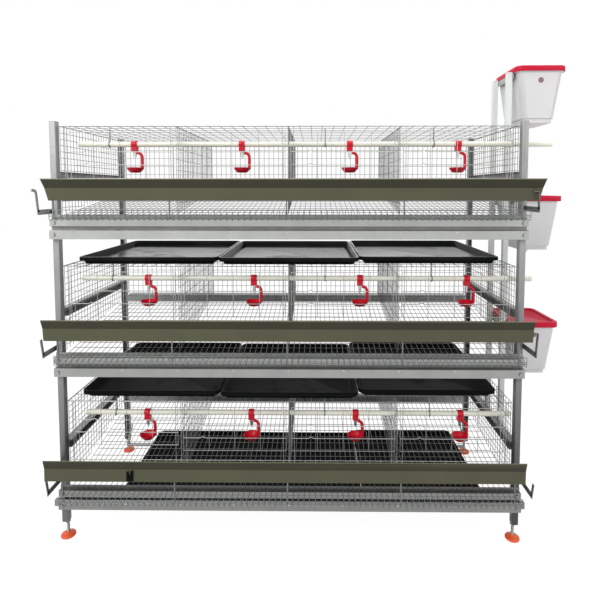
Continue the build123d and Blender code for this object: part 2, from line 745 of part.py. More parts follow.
def tank_loft(low, high, inset, mode=Mode.ADD):
    """A tapered block of the tank, from its step up to its top, drawn in by an inset all round."""
    sizes = ((low, TANK_LOW_WIDTH, TANK_LOW_LENGTH), (high, TANK_TOP_WIDTH, TANK_TOP_LENGTH))
    sections = []
    for height, width, length in sizes:
        with BuildSketch(Plane.XY.offset(height), mode=Mode.PRIVATE) as section:
            with Locations(TANK_MIDDLE):
                RectangleRounded(width - 2 * inset, length - 2 * inset, TANK_CORNER - inset)
        sections.append(section.sketch.face())
    loft(sections, mode=mode)


def make_tank(base):
    """One header tank."""
    bottom = base + TANK_BOTTOM
    top = bottom + TANK_HEIGHT
    step = 2 * TANK_STEP_IN
    with BuildPart() as tank:
        tank_loft(bottom + TANK_STEP, top, 0)
        with BuildSketch(Plane.XY.offset(bottom)):
            with Locations(TANK_MIDDLE):
                RectangleRounded(TANK_LOW_WIDTH - step, TANK_LOW_LENGTH - step, TANK_CORNER - TANK_STEP_IN)
        extrude(amount=TANK_STEP)
        with BuildSketch(Plane.XY.offset(top)):
            with Locations(TANK_MIDDLE):
                RectangleRounded(TANK_RIM_WIDTH, TANK_RIM_LENGTH, TANK_CORNER + TANK_OVERHANG)
        extrude(amount=-TANK_RIM)
        outlet = (TANK_MIDDLE[0] - OUTLET_SIDE, TANK_MIDDLE[1] - OUTLET_FORWARD)
        with BuildSketch(Plane.XY.offset(bottom - OUTLET_LENGTH)):
            with Locations(outlet):
                Circle(OUTLET_DIAMETER / 2)
        extrude(amount=OUTLET_LENGTH + TANK_WALL)
        tank_loft(bottom + TANK_STEP + TANK_WALL, top, TANK_WALL, Mode.SUBTRACT)
        with BuildSketch(Plane.XY.offset(bottom + TANK_WALL)):
            with Locations(TANK_MIDDLE):
                inset = step + 2 * TANK_WALL
                corner = TANK_CORNER - TANK_STEP_IN - TANK_WALL
                RectangleRounded(TANK_LOW_WIDTH - inset, TANK_LOW_LENGTH - inset, corner)
        extrude(amount=TANK_STEP, mode=Mode.SUBTRACT)
        with BuildSketch(Plane.XY.offset(bottom - OUTLET_LENGTH)):
            with Locations(outlet):
                Circle(OUTLET_BORE / 2)
        extrude(amount=OUTLET_LENGTH + 2 * TANK_WALL, mode=Mode.SUBTRACT)
        with BuildSketch(Plane.XZ.offset(-(TANK_MIDDLE[1] - TANK_RIM_LENGTH / 2))):
            with Locations((TANK_MIDDLE[0], top - FLOAT_HOLE_DOWN)):
                Circle(FLOAT_HOLE / 2)
        extrude(amount=-TANK_RIM_LENGTH / 4, mode=Mode.SUBTRACT)
    return tank


# Tank lids: shallow caps with a skirt round the rim and a raised crown
def make_lid(base):
    """One lid, just clear of its tank's rim."""
    seat = base + TANK_BOTTOM + TANK_HEIGHT + LID_GAP
    corner = TANK_CORNER + TANK_OVERHANG + LID_CLEAR
    with BuildPart() as lid:
        with BuildSketch(Plane.XY.offset(seat - TANK_RIM + LID_GAP)):
            with Locations(TANK_MIDDLE):
                RectangleRounded(LID_WIDTH, LID_LENGTH, corner + LID_WALL)
        extrude(amount=TANK_RIM - LID_GAP + LID_WALL)
        with BuildSketch(Plane.XY.offset(seat - TANK_RIM + LID_GAP)):
            with Locations(TANK_MIDDLE):
                RectangleRounded(LID_WIDTH - 2 * LID_WALL, LID_LENGTH - 2 * LID_WALL, corner)
        extrude(amount=TANK_RIM - LID_GAP, mode=Mode.SUBTRACT)
        with BuildSketch(Plane.XY.offset(seat + LID_WALL)):
            with Locations(TANK_MIDDLE):
                inset = 2 * corner
                RectangleRounded(LID_WIDTH - inset, LID_LENGTH - inset, corner / 2)
        extrude(amount=LID_CROWN)
    return lid


for tier, base in enumerate(BASES):
    save(make_tank(base), f"water_tank_{tier + 1}")
    save(make_lid(base), f"tank_lid_{tier + 1}")


# Levelling feet: a round pad, a screw stem through the post's foot plate, and a collar that carries it
def make_foot(side, back):
    """One foot under its post."""
    middle = (CX + side * (POST_INNER + POST_FACE / 2), FY + back)
    with BuildPart() as foot:
        with BuildSketch():
            with Locations(middle):
                Circle(PAD_DIAMETER / 2)
        extrude(amount=PAD_HEIGHT)
        chamfer(foot.edges().group_by(Axis.Z)[-1], PAD_CROWN)
        with BuildSketch(Plane.XY.offset(PAD_HEIGHT)):
            with Locations(middle):
                Circle(STEM_DIAMETER / 2)
        extrude(amount=POST_BOTTOM + STEM_RISE - PAD_HEIGHT)
        with BuildSketch(Plane.XY.offset(POST_BOTTOM - COLLAR_GAP)):
            with Locations(middle):
                Circle(COLLAR_DIAMETER / 2)
        extrude(amount=-COLLAR_HEIGHT)
    return foot


for corner, (side, back, web_out) in CORNERS.items():
    save(make_foot(side, back), f"foot_{corner}")
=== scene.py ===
"""Three-tier battery cage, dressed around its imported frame."""

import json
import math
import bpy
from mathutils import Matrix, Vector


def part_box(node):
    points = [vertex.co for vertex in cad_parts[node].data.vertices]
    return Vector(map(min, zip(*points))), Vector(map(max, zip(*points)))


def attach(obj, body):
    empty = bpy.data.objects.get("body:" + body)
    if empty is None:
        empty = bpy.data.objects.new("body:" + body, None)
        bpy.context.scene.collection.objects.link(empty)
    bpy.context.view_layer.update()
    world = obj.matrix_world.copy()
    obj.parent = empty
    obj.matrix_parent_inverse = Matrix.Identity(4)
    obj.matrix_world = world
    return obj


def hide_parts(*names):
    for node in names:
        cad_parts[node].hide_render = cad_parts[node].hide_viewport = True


bl_info = {
    "name": "Battery Cage",
    "version": (1, 0, 0),
    "blender": (4, 5, 0),
    "location": "View3D > Sidebar > Cage",
    "description": "Welded wire nets, drinkers, feet and finishes for a three-tier battery cage",
    "category": "Object",
}

import bmesh
import bpy
from mathutils import Matrix, Vector

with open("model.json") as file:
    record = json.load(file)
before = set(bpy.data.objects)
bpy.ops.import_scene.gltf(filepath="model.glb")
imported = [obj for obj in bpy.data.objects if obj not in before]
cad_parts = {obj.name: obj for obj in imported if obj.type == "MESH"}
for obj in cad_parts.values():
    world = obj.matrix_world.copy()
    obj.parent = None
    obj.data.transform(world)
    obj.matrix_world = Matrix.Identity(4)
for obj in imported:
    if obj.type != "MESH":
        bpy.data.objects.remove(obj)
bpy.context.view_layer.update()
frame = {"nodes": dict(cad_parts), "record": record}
NODES = frame["nodes"]


def low(node):
    """A node's lowest corner at rest."""
    return Vector(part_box(node)[0])


def high(node):
    """A node's highest corner at rest."""
    return Vector(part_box(node)[1])


def corners(node):
    """A node's lowest and highest corners at rest."""
    return low(node), high(node)


# Places read from the frame, in metres
TIERS = (1, 2, 3)
CELLS = 4
NET_PLATE = high("rear_nets").y - low("rear_nets").y
CAGE_LEFT = low("front_grilles").x + NET_PLATE
CAGE_RIGHT = high("front_grilles").x - NET_PLATE
CAGE_MIDDLE = (CAGE_LEFT + CAGE_RIGHT) / 2
CELL_PITCH = (CAGE_RIGHT - CAGE_LEFT) / CELLS
TIER_PITCH = low("feed_trough_2").z - low("feed_trough_1").z
BASES = [low("front_beams").z + TIER_PITCH * (tier - 1) for tier in TIERS]
POST_FRONT = low("post_front_left").y
GRILLE_Y = (low("front_grilles").y + high("front_grilles").y) / 2
REAR_Y = (low("rear_nets").y + high("rear_nets").y) / 2
ROOF = low("roof_nets").z - BASES[0] + NET_PLATE / 2
GRILLE_LOW = low("front_grilles").z - BASES[0]
FLOOR_FRONT_Y = low("floor_nets").y + NET_PLATE
FLOOR_FRONT = low("floor_nets").z - BASES[0] + NET_PLATE
PIPE = [(low(f"water_pipe_{tier}") + high(f"water_pipe_{tier}")) / 2 for tier in TIERS]
WALLS = [CAGE_LEFT + CELL_PITCH * wall for wall in range(CELLS + 1)]

# Nets: the end nets' place, the floor's slope and lip, and how far crossing wires lie apart
END_REACH = 0.020
NET_LEFT = CAGE_LEFT - END_REACH
NET_RIGHT = CAGE_RIGHT + END_REACH
FLOOR_SLOPE = math.tan(math.radians(8))
FIRST_CROSS = 0.016
EGG_LIP = 0.042
LIP_WIRES = (0.014, EGG_LIP / 2, EGG_LIP)
LIP_GAUGE = 1.3
LIP_BACK = 0.004
LIP_RISE = 0.001
LIP_TURN = 0.006
LIP_CROSSING = 0.0025
ROOF_WIDER = 1.5
CROSSING = 0.0022
REAR_CROSSING = 0.002

# Fronts: places of the wires, and gauges as shares of the edge wire's or the door wire's
GRILLE_FOOT = 0.002
STILE_CROSSING = 0.003
SILL_GAUGE = 0.85
STILE_GAUGE = 0.8
DOOR_GAUGE = 0.95
DOOR_EDGE = 0.8
DOOR_UPRIGHT = 0.7
DOOR_WIDER = 2.4
CATCH_ALONG = 0.19
CATCH_HALF = 0.012

# Troughs, lowest to top: slants of the ends and backward leans, then the lowest trough's clip
SOLID_SLANT = 0.035
TROUGH_SLANTS = (0.004, 0.006, 0.022)
TROUGH_LEANS = (0.016, 0.010, 0.0)
TROUGH_EDGE = 0.0010
PIPE_SHORT = 0.012
CLIP_BACK = 0.017
CLIP_LEAN = 0.10
CLIP_THICK = 0.008
CLIP_LEAVES = ((-0.014, 0.014, 0.005, 0.030), (-0.014, -0.006, 0.029, 0.044), (0.003, 0.014, 0.029, 0.047))

# Drinkers, brackets and feet: saddle's reach from its pipe, lowest hooked tier left and right, and thread
SADDLE_REACH = 0.05
HOOKED_FROM = (3, 2)
SCREW_FOOT = 0.018
THREAD_DEEP = 0.0011

# Meshes: angles past which an edge is sharp or rounded, merge distances, and the widths of rounded edges
SHARP = math.radians(38)
ROUNDED = math.radians(28)
SEAM = 0.00002
DOUBLE = 0.00001
EDGE_WIDTHS = {
    "front_beams": 0.0009,
    "rear_beams": 0.0009,
    "end_ties": 0.0009,
    "tank_posts": 0.0014,
    "tank_hangers": 0.0010,
    "beam_bolts": 0.0008,
    "drinker_saddles": 0.0016,
    "water_tank": 0.0015,
}

# Finishes: sockets of a colour mix, then strengths and depths of relief and spreads of roughness
MIX_FIRST, MIX_SECOND, MIX_RESULT = 6, 7, 2
ZINC_RELIEF = (0.12, 0.0006)
ZINC_SMOOTHER = 0.1
ZINC_ROUGHER = 0.12
PLASTIC_RELIEF = (0.08, 0.0008)
SCUFF_ROUGHER = 0.3
# Finishes: the upright parts of normals that lean over, where shade is painted under a lip, and of normals
# that face up, and what a scuff leaves of a wet coat
LEANING = (-0.16, -0.09)
LEVEL = (0.90, 0.99)
SCUFFED_COAT = 0.30

# Stage: the camera's place from the cage's middle and front, and the lamps' places, sizes and powers
IMAGE_WIDTH = 599.0
CAMERA_SHIFT = (-0.0199, -0.136)
CAMERA_PLACE = (CAGE_MIDDLE + 0.122, POST_FRONT - 2.045, 1.5915)
CAMERA_TURN = (math.radians(90.0) - 0.0615, 0.0, 0.0100)
LIT_POINT = (CAGE_MIDDLE, 0.0, 1.0)
LAMPS = {
    "Front key": ((-2.6, -3.4, 3.6), (2.6, 2.0), 120.0),
    "Right fill": ((3.4, -2.4, 2.6), (2.0, 2.0), 26.0),
    "Top wash": ((0.0, 0.2, 4.4), (3.6, 2.4), 70.0),
}
SKY_LIGHT = 0.55
FLOOR_SIZE = 30.0
FLOOR_VEIL = 0.90
FLOOR_GLOW = 1.08


def floor_height(y):
    """Height of the wire floor above its tier's base at a depth."""
    return FLOOR_FRONT + (y - FLOOR_FRONT_Y) * FLOOR_SLOPE


# Kinds of setting
def length(name, description, default):
    """A length that a user may change."""
    return bpy.props.FloatProperty(name=name, description=description, default=default, unit="LENGTH")


def pair(name, description, default):
    """Two lengths that a user may change."""
    return bpy.props.FloatVectorProperty(
        name=name, description=description, default=default, size=2, unit="LENGTH"
    )


def tint(name, description, default):
    """A colour that a user may change."""
    return bpy.props.FloatVectorProperty(name=name, description=description, default=default, subtype="COLOR")


class CageWires(bpy.types.PropertyGroup):
    """Gauges and pitches of the welded wire."""

    floor_gauge: length("Floor wire", "Diameter of the floor's wires", 0.0026)
    net_gauge: length("Net wire", "Diameter of the walls' wires", 0.0025)
    edge_gauge: length("Edge wire", "Diameter of the edge wires and doors", 0.0040)
    floor_pitch: length("Floor pitch", "Spacing of the wires the eggs roll along", 0.0244)
    floor_cross: length("Floor cross pitch", "Spacing of the floor's cross wires", 0.050)
    wall_pitch: length("Wall pitch", "Spacing of the walls' upright wires", 0.028)
    wall_cross: length("Wall cross pitch", "Spacing of the walls' level wires", 0.050)
    roof_pitch: length("Roof pitch", "Spacing of the roof's wires", 0.050)
    sides: bpy.props.IntProperty(name="Sides", description="Sides of each wire", default=6, min=3)


class CageColours(bpy.types.PropertyGroup):
    """Colours of the finishes."""

    trough: tint("Trough", "Olive-grey plastic", (0.082, 0.081, 0.050))
    pipe: tint("Pipe", "Ivory pipe", (0.93, 0.92, 0.80))
    red: tint("Drinkers", "Red moulded plastic", (0.70, 0.010, 0.030))
    lid: tint("Lids", "Red tank lids", (0.62, 0.012, 0.045))
    tank: tint("Tanks", "Milky tank plastic", (0.76, 0.75, 0.76))
    tray: tint("Trays", "Black tray plastic", (0.006, 0.0066, 0.0070))
    foot: tint("Feet", "Orange foot pads", (0.88, 0.12, 0.030))
    paint: tint("Tank posts", "White paint", (0.80, 0.84, 0.81))


# Node trees
def socket(tree, name, kind, way="INPUT", value=None):
    """Add one named socket to a tree."""
    item = tree.interface.new_socket(name=name, in_out=way, socket_type="NodeSocket" + kind)
    if value is not None:
        item.default_value = value


def added(tree, kind, values=None, **settings):
    """Add a node to a tree, with its settings and the values of its inputs."""
    node = tree.nodes.new(kind)
    for name, value in settings.items():
        setattr(node, name, value)
    for name, value in (values or {}).items():
        node.inputs[name].default_value = value
    return node


def linked(tree, *links):
    """Link nodes: each link is a node and its output, then a node and its input."""
    for start, output, stop, target in links:
        tree.links.new(start.outputs[output], stop.inputs[target])


# Shader node groups shared by the finishes
def mask_group(name, inputs, masks):
    """A group with its inputs and masks; returns it with its two ends and the surface's own place."""
    group = bpy.data.node_groups.new(name, "ShaderNodeTree")
    for label, value in inputs.items():
        socket(group, label, "Float", value=value)
    for label in masks:
        socket(group, label, "Float", "OUTPUT")
    kinds = ("NodeGroupInput", "NodeGroupOutput", "ShaderNodeTexCoord")
    return group, *(added(group, kind) for kind in kinds)


def wear_group():
    """Scuffs and dust: a mask for each, from noise at two sizes."""
    inputs = {"Scale": 18.0, "Amount": 0.5}
    group, enter, leave, place = mask_group("Scuffs and dust", inputs, ("Scuffs", "Dust"))
    scuff = added(group, "ShaderNodeTexNoise", {"Detail": 8.0, "Roughness": 0.72})
    dust = added(group, "ShaderNodeTexNoise", {"Scale": 3.5, "Detail": 5.0})
    edge = added(group, "ShaderNodeMapRange", {"From Min": 0.52, "From Max": 0.74})
    haze = added(group, "ShaderNodeMapRange", {"From Min": 0.42, "From Max": 0.72})
    linked(group, (enter, "Scale", scuff, "Scale"))
    for noise, spread, mask in ((scuff, edge, "Scuffs"), (dust, haze, "Dust")):
        share = added(group, "ShaderNodeMath", operation="MULTIPLY")
        linked(
            group,
            (place, "Object", noise, "Vector"),
            (noise, "Fac", spread, "Value"),
            (spread, "Result", share, 0),
            (enter, "Amount", share, 1),
            (share, "Value", leave, mask),
        )


def spangle_group():
    """Zinc spangle: pale and dark crystal patches, with a finer grain."""
    group, enter, leave, place = mask_group("Zinc spangle", {"Scale": 90.0}, ("Patches", "Grain"))
    cells = added(group, "ShaderNodeTexVoronoi", {"Randomness": 1.0})
    grain = added(group, "ShaderNodeTexNoise", {"Scale": 9.0, "Detail": 9.0})
    bright = added(group, "ShaderNodeSeparateColor")
    linked(
        group,
        (place, "Object", cells, "Vector"),
        (place, "Object", grain, "Vector"),
        (enter, "Scale", cells, "Scale"),
        (cells, "Color", bright, "Color"),
        (bright, "Red", leave, "Patches"),
        (grain, "Fac", leave, "Grain"),
    )


# Finishes
def shader_of(material):
    """A finish's own shader."""
    return material.node_tree.nodes["Principled BSDF"]


def new_material(name):
    """A material with its shader; returns both."""
    material = bpy.data.materials.new(name)
    material.use_nodes = True
    return material, shader_of(material)


def placed(material, group, values):
    """A node group set in a material, with its own values."""
    return added(material.node_tree, "ShaderNodeGroup", values, node_tree=bpy.data.node_groups[group])


def mixed(material, factor, first, second):
    """A colour mix driven by a mask; returns its output."""
    ends = {MIX_FIRST: (*first, 1.0), MIX_SECOND: (*second, 1.0)}
    node = added(material.node_tree, "ShaderNodeMix", ends, data_type="RGBA")
    material.node_tree.links.new(factor, node.inputs["Factor"])
    return node.outputs[MIX_RESULT]


def ranged(material, value, bottom, top, start=0.0, stop=1.0):
    """A value carried from one pair of limits to another; returns its output."""
    limits = {"From Min": start, "From Max": stop, "To Min": bottom, "To Max": top}
    node = added(material.node_tree, "ShaderNodeMapRange", limits)
    material.node_tree.links.new(value, node.inputs["Value"])
    return node.outputs["Result"]


def bumped(material, height, strength, distance):
    """Fine relief from a height; links it to the shader's Normal."""
    tree = material.node_tree
    node = added(tree, "ShaderNodeBump", {"Strength": strength, "Distance": distance})
    tree.links.new(height, node.inputs["Height"])
    linked(tree, (node, "Normal", shader_of(material), "Normal"))


def scaled(colour, factor):
    """A colour made darker or lighter."""
    return tuple(min(1.0, part * factor) for part in colour)


def zinc_material(name, pale, dark, scale, rough, metal):
    """Galvanised steel: spangled patches, cloudy grain and a soft shine."""
    material, shader = new_material(name)
    spangle = placed(material, "Zinc spangle", {"Scale": scale})
    links = material.node_tree.links
    links.new(mixed(material, spangle.outputs["Grain"], dark, pale), shader.inputs["Base Color"])
    roughness = ranged(material, spangle.outputs["Patches"], rough - ZINC_SMOOTHER, rough + ZINC_ROUGHER)
    links.new(roughness, shader.inputs["Roughness"])
    shader.inputs["Metallic"].default_value = metal
    bumped(material, spangle.outputs["Grain"], *ZINC_RELIEF)
    return material


def plastic_material(name, colour, dusty, amount, rough, scale, shine):
    """Moulded plastic with faint scuffs, dust and a fine grain."""
    material, shader = new_material(name)
    wear = placed(material, "Scuffs and dust", {"Scale": scale, "Amount": amount})
    links = material.node_tree.links
    links.new(mixed(material, wear.outputs["Dust"], colour, dusty), shader.inputs["Base Color"])
    roughness = ranged(material, wear.outputs["Scuffs"], rough, min(1.0, rough + SCUFF_ROUGHER))
    links.new(roughness, shader.inputs["Roughness"])
    shader.inputs["Specular IOR Level"].default_value = shine
    bumped(material, wear.outputs["Scuffs"], *PLASTIC_RELIEF)
    return material


def upright_part(material, kind, output):
    """The upright part of what a new node puts out."""
    parts = added(material.node_tree, "ShaderNodeSeparateXYZ")
    linked(material.node_tree, (added(material.node_tree, kind), output, parts, "Vector"))
    return parts.outputs["Z"]


def darkened(material, share):
    """Scale a finish's colour by a share that changes over its surface."""
    links = material.node_tree.links
    colour = shader_of(material).inputs["Base Color"]
    darker = added(material.node_tree, "ShaderNodeVectorMath", operation="SCALE")
    links.new(colour.links[0].from_socket, darker.inputs[0])
    links.new(share, darker.inputs["Scale"])
    links.new(darker.outputs["Vector"], colour)


def shaded_below(material, least):
    """Darken a finish where its faces lean over: painted shade under a flared lip."""
    lean = upright_part(material, "ShaderNodeNewGeometry", "Normal")
    darkened(material, ranged(material, lean, least, 1.0, *LEANING))


def shade_in_hollows(material, reach, least):
    """Darken a finish in its grooves and corners: painted shade from ambient occlusion."""
    hollow = added(material.node_tree, "ShaderNodeAmbientOcclusion", {"Distance": reach}, samples=8)
    darkened(material, ranged(material, hollow.outputs["AO"], least, 1.0))


def shaded_toward_floor(material, least):
    """Darken a finish toward the floor: painted shade, for light that falls from above."""
    height = upright_part(material, "ShaderNodeTexCoord", "Object")
    darkened(material, ranged(material, height, least, 1.0, BASES[0], BASES[-1]))


def wetted(material, most, rough):
    """Give a finish a wet coat on upward faces only, dull where it is scuffed."""
    tree = material.node_tree
    shader = shader_of(material)
    wear = next(node for node in tree.nodes if node.type == "GROUP")
    facing = upright_part(material, "ShaderNodeNewGeometry", "Normal")
    patchy = added(tree, "ShaderNodeMath", operation="MULTIPLY")
    tree.links.new(ranged(material, facing, 0.0, most, *LEVEL), patchy.inputs[0])
    tree.links.new(ranged(material, wear.outputs["Scuffs"], 1.0, SCUFFED_COAT), patchy.inputs[1])
    linked(tree, (patchy, "Value", shader, "Coat Weight"))
    shader.inputs["Coat Roughness"].default_value = rough


class CAGE_OT_finishes(bpy.types.Operator):
    """Make the finishes and give each kept CAD node its own."""

    bl_idname = "cage.finishes"
    bl_label = "Finishes"

    def steels(self):
        """Zinc and steel: pale and dark tones, scale of the spangle, roughness and metal."""
        post = (0.42, 0.43, 0.42), (0.29, 0.30, 0.30), 70.0, 0.42, 0.55
        beam = (0.54, 0.55, 0.53), (0.38, 0.39, 0.38), 80.0, 0.40, 0.55
        # Each steel: its tones, then the reach and least share of the painted shade in its hollows, and the
        # least share of the painted shade toward the floor; the right-hand posts' copy is darker, painted
        # shade for light from the left.
        for name, tones, reach, hollow_shade, floor_shade in (
            ("Galvanised post", post, 0.03, 0.25, 0.42),
            ("Galvanised beam", beam, 0.02, 0.10, 0.55),
            ("Dull post", post, 0.03, 0.25, 0.18),
        ):
            steel = zinc_material(name, *tones)
            shade_in_hollows(steel, reach, hollow_shade)
            shaded_toward_floor(steel, floor_shade)
        zinc_material("Galvanised wire", (0.25, 0.26, 0.25), (0.15, 0.16, 0.16), 140.0, 0.38, 0.70)
        zinc_material("Bright wire", (0.55, 0.55, 0.54), (0.42, 0.42, 0.41), 140.0, 0.34, 0.45)
        zinc_material("Turned steel", (0.66, 0.66, 0.64), (0.50, 0.50, 0.49), 200.0, 0.28, 0.95)
        zinc_material("Screw steel", (0.34, 0.34, 0.33), (0.24, 0.24, 0.23), 200.0, 0.40, 0.60)
        # A darker copy of the brackets' steel: painted shade on the right-hand brackets.
        zinc_material("Dark bar", (0.17, 0.17, 0.17), (0.11, 0.11, 0.11), 120.0, 0.45, 0.35)

    def plastics(self, colours):
        """Plastics and paint: colour, dust's tone and amount, roughness, scale of the scuffs and shine."""
        for name, colour, dusty, *wear in (
            ("Trough plastic", colours.trough, 1.25, 0.6, 0.5, 18.0, 0.2),
            # The bead is the trough's plastic made paler: a painted highlight along the lip.
            ("Bead plastic", scaled(colours.trough, 3.2), 1.2, 0.5, 0.4, 18.0, 0.5),
            ("Pipe plastic", colours.pipe, 0.86, 0.5, 0.32, 18.0, 0.5),
            ("Red plastic", colours.red, 0.7, 0.4, 0.30, 40.0, 0.3),
            ("Lid plastic", colours.lid, 0.8, 0.4, 0.40, 30.0, 0.15),
            ("Foot plastic", colours.foot, 0.8, 0.4, 0.38, 40.0, 0.5),
            ("White paint", colours.paint, 0.85, 0.5, 0.34, 14.0, 0.5),
            ("Tank plastic", colours.tank, 0.9, 0.35, 0.34, 18.0, 0.5),
        ):
            plastic_material(name, tuple(colour), scaled(colour, dusty), *wear)
        # Painted shade: under the troughs' leaning lips, and in the lids' hollows.
        shaded_below(bpy.data.materials["Trough plastic"], 0.45)
        shade_in_hollows(bpy.data.materials["Lid plastic"], 0.015, 0.3)
        tray = tuple(colours.tray)
        plastic_material("Tray plastic", tray, (0.008, 0.008, 0.0075), 0.9, 0.40, 9.0, 0.02)
        wet = plastic_material("Wet tray plastic", tray, (0.016, 0.016, 0.015), 0.9, 0.20, 6.0, 0.02)
        wetted(wet, 0.90, 0.24)
        plastic_material("Float plastic", (0.30, 0.20, 0.21), (0.22, 0.15, 0.16), 0.5, 0.5, 40.0, 0.2)
        milky = shader_of(bpy.data.materials["Tank plastic"])
        milky.inputs["Subsurface Weight"].default_value = 0.25
        milky.inputs["Subsurface Radius"].default_value = (0.02, 0.02, 0.02)

    def execute(self, context):
        wear_group()
        spangle_group()
        self.steels()
        self.plastics(context.scene.cage_colours)
        named = {"galvanised_steel": "Galvanised beam", "valve_steel": "Turned steel"}
        for part in frame["record"]["subparts"]:
            slot = part["material_slot"]
            finish = named.get(slot, slot.replace("_", " ").capitalize())
            materials = NODES[part["node"]].data.materials
            materials.clear()
            materials.append(bpy.data.materials[finish])
        return {"FINISHED"}


# Geometry Nodes trees: wire swept along runs, and copies set at points
def piece_tree(name, extra, kind):
    """A tree with one input of its own, that ends in a painted mesh; returns it, its start and that mesh."""
    tree = bpy.data.node_groups.new(name, "GeometryNodeTree")
    for label, sort in (("Geometry", "Geometry"), (extra, kind), ("Material", "Material")):
        socket(tree, label, sort)
    socket(tree, "Geometry", "Geometry", "OUTPUT")
    enter = added(tree, "NodeGroupInput")
    leave = added(tree, "NodeGroupOutput")
    whole = added(tree, "GeometryNodeRealizeInstances")
    paint = added(tree, "GeometryNodeSetMaterial")
    linked(
        tree,
        (whole, "Geometry", paint, "Geometry"),
        (enter, "Material", paint, "Material"),
        (paint, "Geometry", leave, "Geometry"),
    )
    return tree, enter, whole


def wire_tree():
    """A tree that turns a skeleton of runs into welded wire."""
    tree, enter, whole = piece_tree("Welded wire", "Sides", "Int")
    runs = added(tree, "GeometryNodeMeshToCurve")
    gauge = added(tree, "GeometryNodeInputNamedAttribute", {"Name": "gauge"}, data_type="FLOAT")
    thick = added(tree, "GeometryNodeSetCurveRadius")
    ring = added(tree, "GeometryNodeCurvePrimitiveCircle", {"Radius": 0.5})
    swept = added(tree, "GeometryNodeCurveToMesh", {"Fill Caps": True})
    smooth = added(tree, "GeometryNodeSetShadeSmooth")
    linked(
        tree,
        (enter, "Geometry", runs, "Mesh"),
        (runs, "Curve", thick, "Curve"),
        (gauge, "Attribute", thick, "Radius"),
        (thick, "Curve", swept, "Curve"),
        (enter, "Sides", ring, "Resolution"),
        (ring, "Curve", swept, "Profile Curve"),
        (swept, "Mesh", smooth, "Geometry"),
        (smooth, "Geometry", whole, "Geometry"),
    )
    if swept.inputs.get("Scale") is not None:
        linked(tree, (gauge, "Attribute", swept, "Scale"))
    return tree


def copies_tree():
    """A tree that sets a copy of one moulded piece at every point."""
    tree, enter, whole = piece_tree("Copies at points", "Piece", "Object")
    source = added(tree, "GeometryNodeObjectInfo")
    spread = added(tree, "GeometryNodeInstanceOnPoints")
    linked(
        tree,
        (enter, "Geometry", spread, "Points"),
        (enter, "Piece", source, "Object"),
        (source, "Geometry", spread, "Instance"),
        (spread, "Instances", whole, "Geometry"),
    )
    return tree


# Makers of pieces
def shown(name, data):
    """An object for a mesh, a lamp or a camera, set in the scene."""
    thing = bpy.data.objects.new(name, data)
    bpy.context.scene.collection.objects.link(thing)
    return thing


def dressed(piece, body, slot, *nodes):
    """Set a finished piece on its body, in place of CAD nodes where it stands for them."""
    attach(piece, body)
    if nodes:
        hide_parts(*nodes)


def set_input(modifier, name, value):
    """Set one of a Geometry Nodes modifier's inputs by its socket's identifier."""
    for item in modifier.node_group.interface.items_tree:
        if item.item_type == "SOCKET" and item.in_out == "INPUT" and item.name == name:
            modifier[item.identifier] = value
            return
    raise RuntimeError(f"no input named {name}")


def made_mesh(skeleton, tree, inputs, name):
    """Run a tree on a skeleton object and keep its result as a plain mesh object."""
    modifier = skeleton.modifiers.new("Tree", "NODES")
    modifier.node_group = tree
    for key, value in inputs.items():
        set_input(modifier, key, value)
    depsgraph = bpy.context.evaluated_depsgraph_get()
    mesh = bpy.data.meshes.new_from_object(skeleton.evaluated_get(depsgraph), depsgraph=depsgraph)
    skeleton.modifiers.remove(modifier)
    bpy.data.objects.remove(skeleton)
    mesh.name = name
    return shown(name, mesh)


def wire_piece(name, runs, material, sides=0):
    """One piece of welded wire from runs, each a gauge and the points it passes."""
    points = []
    edges = []
    gauges = []
    for gauge, run in runs:
        start = len(points)
        points.extend(run)
        gauges.extend([gauge] * len(run))
        edges.extend((start + step, start + step + 1) for step in range(len(run) - 1))
    mesh = bpy.data.meshes.new(name + "_runs")
    mesh.from_pydata(points, edges, [])
    mesh.attributes.new("gauge", "FLOAT", "POINT").data.foreach_set("value", gauges)
    tree = bpy.data.node_groups.get("Welded wire") or wire_tree()
    sides = sides or bpy.context.scene.cage_wires.sides
    inputs = {"Sides": sides, "Material": bpy.data.materials[material]}
    return made_mesh(shown(name + "_runs", mesh), tree, inputs, name)


def copied(name, pattern, places, material):
    """One piece made of copies of a pattern, one at each place; the pattern is used up."""
    mesh = bpy.data.meshes.new(name + "_places")
    mesh.from_pydata(places, [], [])
    tree = bpy.data.node_groups.get("Copies at points") or copies_tree()
    inputs = {"Piece": pattern, "Material": bpy.data.materials[material]}
    piece = made_mesh(shown(name + "_places", mesh), tree, inputs, name)
    bpy.data.objects.remove(pattern)
    return piece


def finished(name, shape, material):
    """A mesh object made from a shape, with its faces turned outward and its bends smooth."""
    bmesh.ops.recalc_face_normals(shape, faces=shape.faces)
    for face in shape.faces:
        face.smooth = True
    mesh = bpy.data.meshes.new(name)
    shape.to_mesh(mesh)
    shape.free()
    mesh.materials.append(bpy.data.materials[material])
    mesh.set_sharp_from_angle(angle=SHARP)
    return shown(name, mesh)


def turned(name, profile, material, sides=40):
    """A piece turned about the upright axis from a profile of radii and heights."""
    shape = bmesh.new()
    ring = [shape.verts.new((radius, 0.0, height)) for radius, height in profile]
    edges = [shape.edges.new(ends) for ends in zip(ring, ring[1:])]
    axis = {"cent": (0, 0, 0), "axis": (0, 0, 1)}
    bmesh.ops.spin(shape, geom=ring + edges, **axis, angle=math.tau, steps=sides, use_merge=True)
    bmesh.ops.remove_doubles(shape, verts=shape.verts, dist=DOUBLE)
    return finished(name, shape, material)


def studs(name, dome, sides, places, material, slot):
    """Round studs that face the front, one at each place on the cage."""
    pattern = turned("stud", dome, material, sides)
    pattern.data.transform(Matrix.Rotation(math.radians(-90.0), 4, "X"))
    dressed(copied(name, pattern, places, material), "cage", slot)


